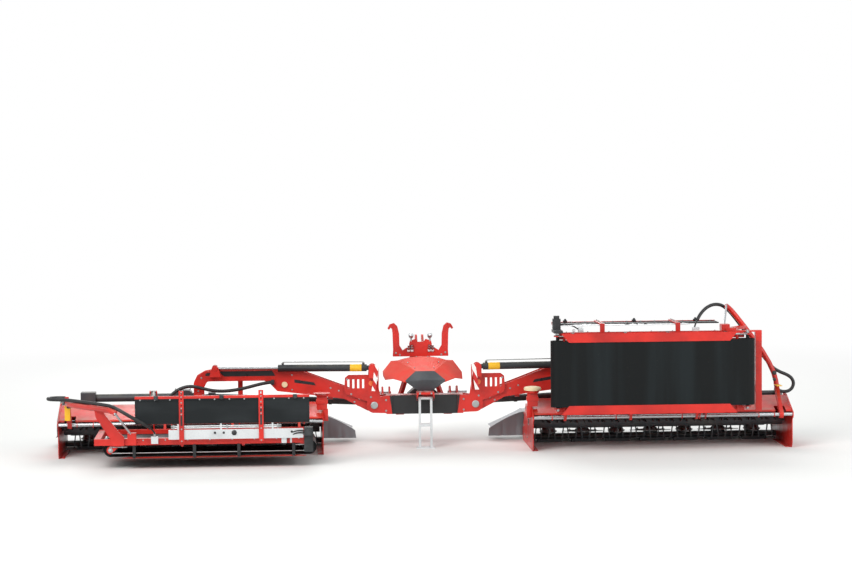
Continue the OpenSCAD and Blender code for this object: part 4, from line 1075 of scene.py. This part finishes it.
class MOWER_OT_centre_cover(bpy.types.Operator):
    """Folded cover over the centre gearbox, with its grey nose"""
    bl_idname = "mower.centre_cover"
    bl_label = "Centre cover"

    def execute(self, context):
        self.shell()
        self.nose()
        self.screws()
        return {"FINISHED"}

    def shell(self):
        """Sheet whose top narrows to the nose, between two flat side facets with a notched low edge."""
        count = 6
        rows = [[(half * k / count, y, z - arch * (k / count) ** 2) for k in range(count + 1)]
                for y, z, arch, half in COVER_FOLDS]
        facets = [(a[k], a[k + 1], b[k + 1], b[k]) for a, b in zip(rows, rows[1:]) for k in range(count)]
        nose_top, ridge, flat_end, front_end = (r[-1] for r in rows)
        nose_middle, nose_side = (0, 0.2525, 0.827), (0.235, 0.256, 0.830)
        low, notch = (0.262, 0.255, 0.813), (0.385, 0.486, 0.832)
        lobe, lobe_low, shoulder = (0.484, 0.753, 0.880), (0.478, 0.575, 0.812), (0.385, 0.932, 1.012)
        back, back_low = (0.488, 1.020, 0.876), (0.484, 1.020, 0.815)
        corner, front, front_low = (0.385, 0.985, 1.008), (0.380, 1.185, 0.945), (0.380, 1.185, 0.850)
        facets += [(nose_top, nose_side, low, notch, lobe_low, lobe, shoulder, ridge),
                   (ridge, shoulder, corner, flat_end), (flat_end, corner, front, front_end),
                   (shoulder, lobe, back, corner), (corner, back, front), (lobe, lobe_low, back_low, back),
                   (back, back_low, front_low, front),
                   (rows[0][0], nose_top, nose_side, nose_middle),
                   (nose_middle, nose_side, low, (0.200, 0.262, 0.790), (0.060, 0.314, 0.694),
                    (0, 0.314, 0.694))]
        bm = bmesh.new()
        add_facets(bm, facets)
        o = piece("centre_cover", bm, "headstock", "cover")
        self.fold_sheet(o, 0.006)
        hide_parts("hood")

    def nose(self):
        """Bare grey moulding over the cover's low end, a shield with a soft ridge across."""
        ridge_middle, ridge_end = (0, 0.2435, 0.836), (0.240, 0.2435, 0.836)
        upper = ((0, 0.325, 0.9375), (0.116, 0.325, 0.9375), ridge_end, ridge_middle)
        lower = (ridge_middle, ridge_end, (0.241, 0.2430, 0.812), (0.085, 0.2980, 0.694),
                 (0, 0.2980, 0.694))
        bm = bmesh.new()
        add_facets(bm, (upper, lower))
        o = piece("nose_moulding", bm, "headstock", "grey_moulding")
        self.fold_sheet(o, 0.010)
        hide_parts("hood_nose")

    @staticmethod
    def screws():
        """Screws on the slope of the cover's top and along its flat."""
        (y0, z0, _, half0), (y1, z1, arch, half1) = COVER_FOLDS[:2]
        lift = 0.001
        rows = []
        for x, y in ((0.120, 0.46), (0.190, 0.68)):
            t = (y - y0) / (y1 - y0)
            z = z0 + (z1 - z0) * t - arch * t * (x / (half0 + (half1 - half0) * t)) ** 2 + lift
            rows += [((way * x, y, z), (0, -0.26, 0.965)) for way in (-1, 1)]
        for x in (-0.21, -0.07, 0.07, 0.21):
            rows.append(((x, 0.90, 1.064 - arch * (x / half1) ** 2 + lift), (0, 0, 1)))
        bolts("hood_screws", "headstock", rows, 0.008)

    @staticmethod
    def fold_sheet(o, thickness):
        """Gives a sheet its thickness inward and rounds its folds."""
        thick = o.modifiers.new("thickness", "SOLIDIFY")
        thick.thickness = thickness
        thick.offset = -1
        thick.use_even_offset = False
        round_off = o.modifiers.new("folds", "BEVEL")
        round_off.width = 0.004
        round_off.segments = 2
        round_off.angle_limit = math.radians(12)


class MOWER_OT_fasteners(bpy.types.Operator):
    """Bolt heads and washers"""
    bl_idname = "mower.fasteners"
    bl_label = "Fasteners"

    def execute(self, context):
        for side, sign in SIDES:
            self.on_belt(side)
            self.on_arm(side, sign)
            self.on_mower(side, sign)
        self.on_headstock()
        return {"FINISHED"}

    @staticmethod
    def on_belt(side):
        """Bolts of a belt unit's rails, straps and top edge, placed in millimetres about its hinge."""
        straps = [x / MM for x in STRAPS_X]
        rear = [(x, -1030, -72) for x in range(1560, 3600, 255)]
        rear += [(x, -1132, z) for x in straps for z in (-78, 60, 232, 300, 365, 430, 482)]
        rear += [(x, -1117.5, 399) for x in range(1500, 3400, 170)
                 if min(abs(x - strap) for strap in straps) > 45]
        front = [(x, -60, -90) for x in range(1560, 3600, 255)]
        back = belt_point(side, (0, -1 / MM, 0)) - belt_point(side, (0, 0, 0))
        rows = [(belt_point(side, p), back) for p in rear] + [(belt_point(side, p), -back) for p in front]
        bolts("belt_frame_bolts_" + side, "conveyor_" + side, rows, 0.009)

    @staticmethod
    def on_arm(side, sign):
        """Bolts through an arm's side plates."""
        rows = [((sign * x, y, z), (0, way, 0))
                for x, z in ((1.05, 0.70), (1.15, 0.735), (1.62, 0.90), (1.62, 0.72), (2.72, 0.88),
                             (2.76, 0.72), (2.71, 0.67), (0.80, 0.60), (0.86, 0.56))
                for y, way in ARM_FACES]
        bolts("arm_bolts_" + side, "arm_" + side, rows, 0.011)

    @staticmethod
    def on_mower(side, sign):
        """Bolts of a mower unit's end plates, tilt fork, beam and side gearbox."""
        end_plate = [(0.470, 0.44), (0.570, 0.44), (-0.05, 0.10), (0.35, 0.10), (0.70, 0.10), (0.10, 0.56),
                     (-0.20, 0.40), (0.80, 0.20)]
        # Four more hold the rotor's bearing in the inner plate
        bearing = [(0.190 + 0.055 * math.cos(a), 0.320 + 0.055 * math.sin(a)) for a in QUARTERS]
        rows = [((sign * (UNIT_X - UNIT_HALF), y, z), (-sign, 0, 0)) for y, z in end_plate + bearing]
        rows += [((sign * (UNIT_X + UNIT_HALF), y, z), (sign, 0, 0)) for y, z in end_plate]
        rows += [((sign * x, y, 0.470), (0, way, 0))
                 for x in (2.60, 2.90) for y, way in ((0.390, -1), (0.650, 1))]
        rows += [((sign * (1.40 + 0.26 * k), 0.440, 0.475), (0, -1, 0)) for k in range(12)]
        rows += [((sign * (2.87 + 0.09 * k), y, 0.7052), (0, 0, 1)) for k in range(3) for y in (0.74, 0.85)]
        bolts("mower_bolts_" + side, "mower_" + side, rows, 0.010)

    @staticmethod
    def on_headstock():
        """Bolts on the rear faces of the headstock and the hose rack."""
        # Each face's place in Y, with its bolts' places across and up
        faces = ((0.390, ((0.475, 0.45), (0.475, 0.58), (0.66, 0.62), (0.90, 0.66), (0.95, 0.84),
                          (0.66, 0.87))),
                 (1.330, ((0.440, 0.44), (0.30, 0.44), (0.16, 0.44))),
                 (1.225, ((0.26, 1.060), (0.31, 1.085))),
                 (0.205, ((0.07, 0.674), (0.07, 0.615))))
        rows = [((way * x, y, z), (0, -1, 0)) for way in (-1, 1) for y, places in faces for x, z in places]
        bolts("headstock_bolts", "headstock", rows, 0.012)


def seen_ray(tree):
    """Whether a ray comes from the camera, or from it by way of gloss or glass."""
    ray = add(tree, "ShaderNodeLightPath")
    gloss = add(tree, "ShaderNodeMath", {0: ray.outputs["Is Camera Ray"], 1: ray.outputs["Is Glossy Ray"]},
                operation="MAXIMUM")
    both = add(tree, "ShaderNodeMath", {0: gloss.outputs["Value"],
                                        1: ray.outputs["Is Transmission Ray"]}, operation="MAXIMUM")
    return both.outputs["Value"]


class MOWER_OT_stage(bpy.types.Operator):
    """Floor, lamps and camera"""
    bl_idname = "mower.stage"
    bl_label = "Stage"

    def execute(self, context):
        scene = context.scene
        self.floor(scene)
        self.world(scene)
        self.lamps(scene)
        self.camera(scene)
        scene.view_settings.view_transform = "Standard"
        return {"FINISHED"}

    @staticmethod
    def floor(scene):
        """A pale floor that runs into a white background beyond the object's shadow."""
        m, tree, shader = new_material("studio_floor", scene.mower_stage.floor, 0.85)
        place = add(tree, "ShaderNodeTexCoord").outputs["Object"]
        away = add(tree, "ShaderNodeVectorMath", {0: place}, operation="LENGTH")
        fade = add(tree, "ShaderNodeMapRange", {"Value": away.outputs["Value"],
                                                "From Min": 5.5, "From Max": 17.0},
                   interpolation_type="SMOOTHSTEP")
        white = add(tree, "ShaderNodeEmission", {"Strength": 1.0})
        share = add(tree, "ShaderNodeMath", {0: fade.outputs["Result"], 1: seen_ray(tree)},
                    operation="MULTIPLY")
        mix = add(tree, "ShaderNodeMixShader", {0: share.outputs["Value"], 1: shader.outputs["BSDF"],
                                                2: white.outputs["Emission"]})
        tree.links.new(mix.outputs["Shader"], tree.nodes["Material Output"].inputs["Surface"])
        half = 160.0
        mesh = bpy.data.meshes.new("studio_floor")
        mesh.from_pydata([(-half, -half, 0), (half, -half, 0), (half, half, 0), (-half, half, 0)], [],
                         [(0, 1, 2, 3)])
        mesh.materials.append(m)
        obj = bpy.data.objects.new("studio_floor", mesh)
        scene.collection.objects.link(obj)

    @staticmethod
    def world(scene):
        """Soft sky light on the object, and white where the camera looks past it."""
        world = bpy.data.worlds.new("studio_light")
        world.use_nodes = True
        scene.world = world
        tree = world.node_tree
        soft = tree.nodes["Background"]
        soft.inputs["Color"].default_value = linear("E4E7EA")
        soft.inputs["Strength"].default_value = 0.62
        white = add(tree, "ShaderNodeBackground", {"Color": (1, 1, 1, 1), "Strength": 1.0})
        mix = add(tree, "ShaderNodeMixShader", {0: seen_ray(tree), 1: soft.outputs["Background"],
                                                2: white.outputs["Background"]})
        tree.links.new(mix.outputs["Shader"], tree.nodes["World Output"].inputs["Surface"])

    @staticmethod
    def lamps(scene):
        """Three broad lamps."""
        # Columns: name, place, aim, width in metres, power in watts
        for name, at, aim, width, power in (("key", (-9, -13, 11), (0, 0, 0.6), 9.0, 2300),
                                            ("fill", (11, -9, 7), (0, 0, 0.5), 10.0, 900),
                                            ("back", (0, 12, 9), (0, 0, 0.8), 9.0, 1100)):
            lamp = bpy.data.lights.new(name, "AREA")
            lamp.energy = power
            lamp.size = width
            obj = bpy.data.objects.new(name, lamp)
            obj.location = at
            obj.rotation_euler = (Vector(aim) - Vector(at)).to_track_quat("-Z", "Y").to_euler()
            scene.collection.objects.link(obj)

    @staticmethod
    def camera(scene):
        """The camera, where the photograph was taken from."""
        stage = scene.mower_stage
        data = bpy.data.cameras.new("camera")
        data.lens = stage.lens
        data.sensor_width = 36.0
        data.clip_end = 400.0
        obj = bpy.data.objects.new("camera", data)
        obj.matrix_world = (Matrix.Translation(stage.camera_at)
                            @ Matrix.Rotation(-stage.yaw, 4, "Z")
                            @ Matrix.Rotation(math.pi / 2 - stage.pitch, 4, "X")
                            @ Matrix.Rotation(-stage.roll, 4, "Z"))
        scene.collection.objects.link(obj)
        scene.camera = obj


STEPS = (MOWER_OT_finishes, MOWER_OT_hoses, MOWER_OT_crop_covers, MOWER_OT_marks,
         MOWER_OT_fittings, MOWER_OT_centre_cover, MOWER_OT_fasteners, MOWER_OT_stage)
SETTINGS = (("mower_paint", PaintSettings), ("mower_hoses", HoseSettings),
            ("mower_cloth", ClothSettings), ("mower_stage", StageSettings))


class MOWER_PT_panel(bpy.types.Panel):
    """Lists the settings and the steps"""
    bl_label = "Mower conditioner"
    bl_idname = "MOWER_PT_panel"
    bl_space_type = "VIEW_3D"
    bl_region_type = "UI"
    bl_category = "Mower"

    def draw(self, context):
        for name, kind in SETTINGS:
            for setting in kind.__annotations__:
                self.layout.prop(getattr(context.scene, name), setting)
        for step in STEPS:
            self.layout.operator(step.bl_idname)


def register():
    """Registers the settings, the steps and the panel."""
    for name, kind in SETTINGS:
        bpy.utils.register_class(kind)
        setattr(bpy.types.Scene, name, PointerProperty(type=kind))
    for kind in STEPS + (MOWER_PT_panel,):
        bpy.utils.register_class(kind)


def unregister():
    """Takes all of them out again."""
    for kind in (MOWER_PT_panel,) + STEPS:
        bpy.utils.unregister_class(kind)
    for name, kind in SETTINGS:
        delattr(bpy.types.Scene, name)
        bpy.utils.unregister_class(kind)


def main():
    """Runs every step in order."""
    register()
    for step in STEPS:
        group, name = step.bl_idname.split(".")
        getattr(getattr(bpy.ops, group), name)()


if __name__ == "__main__":
    main()
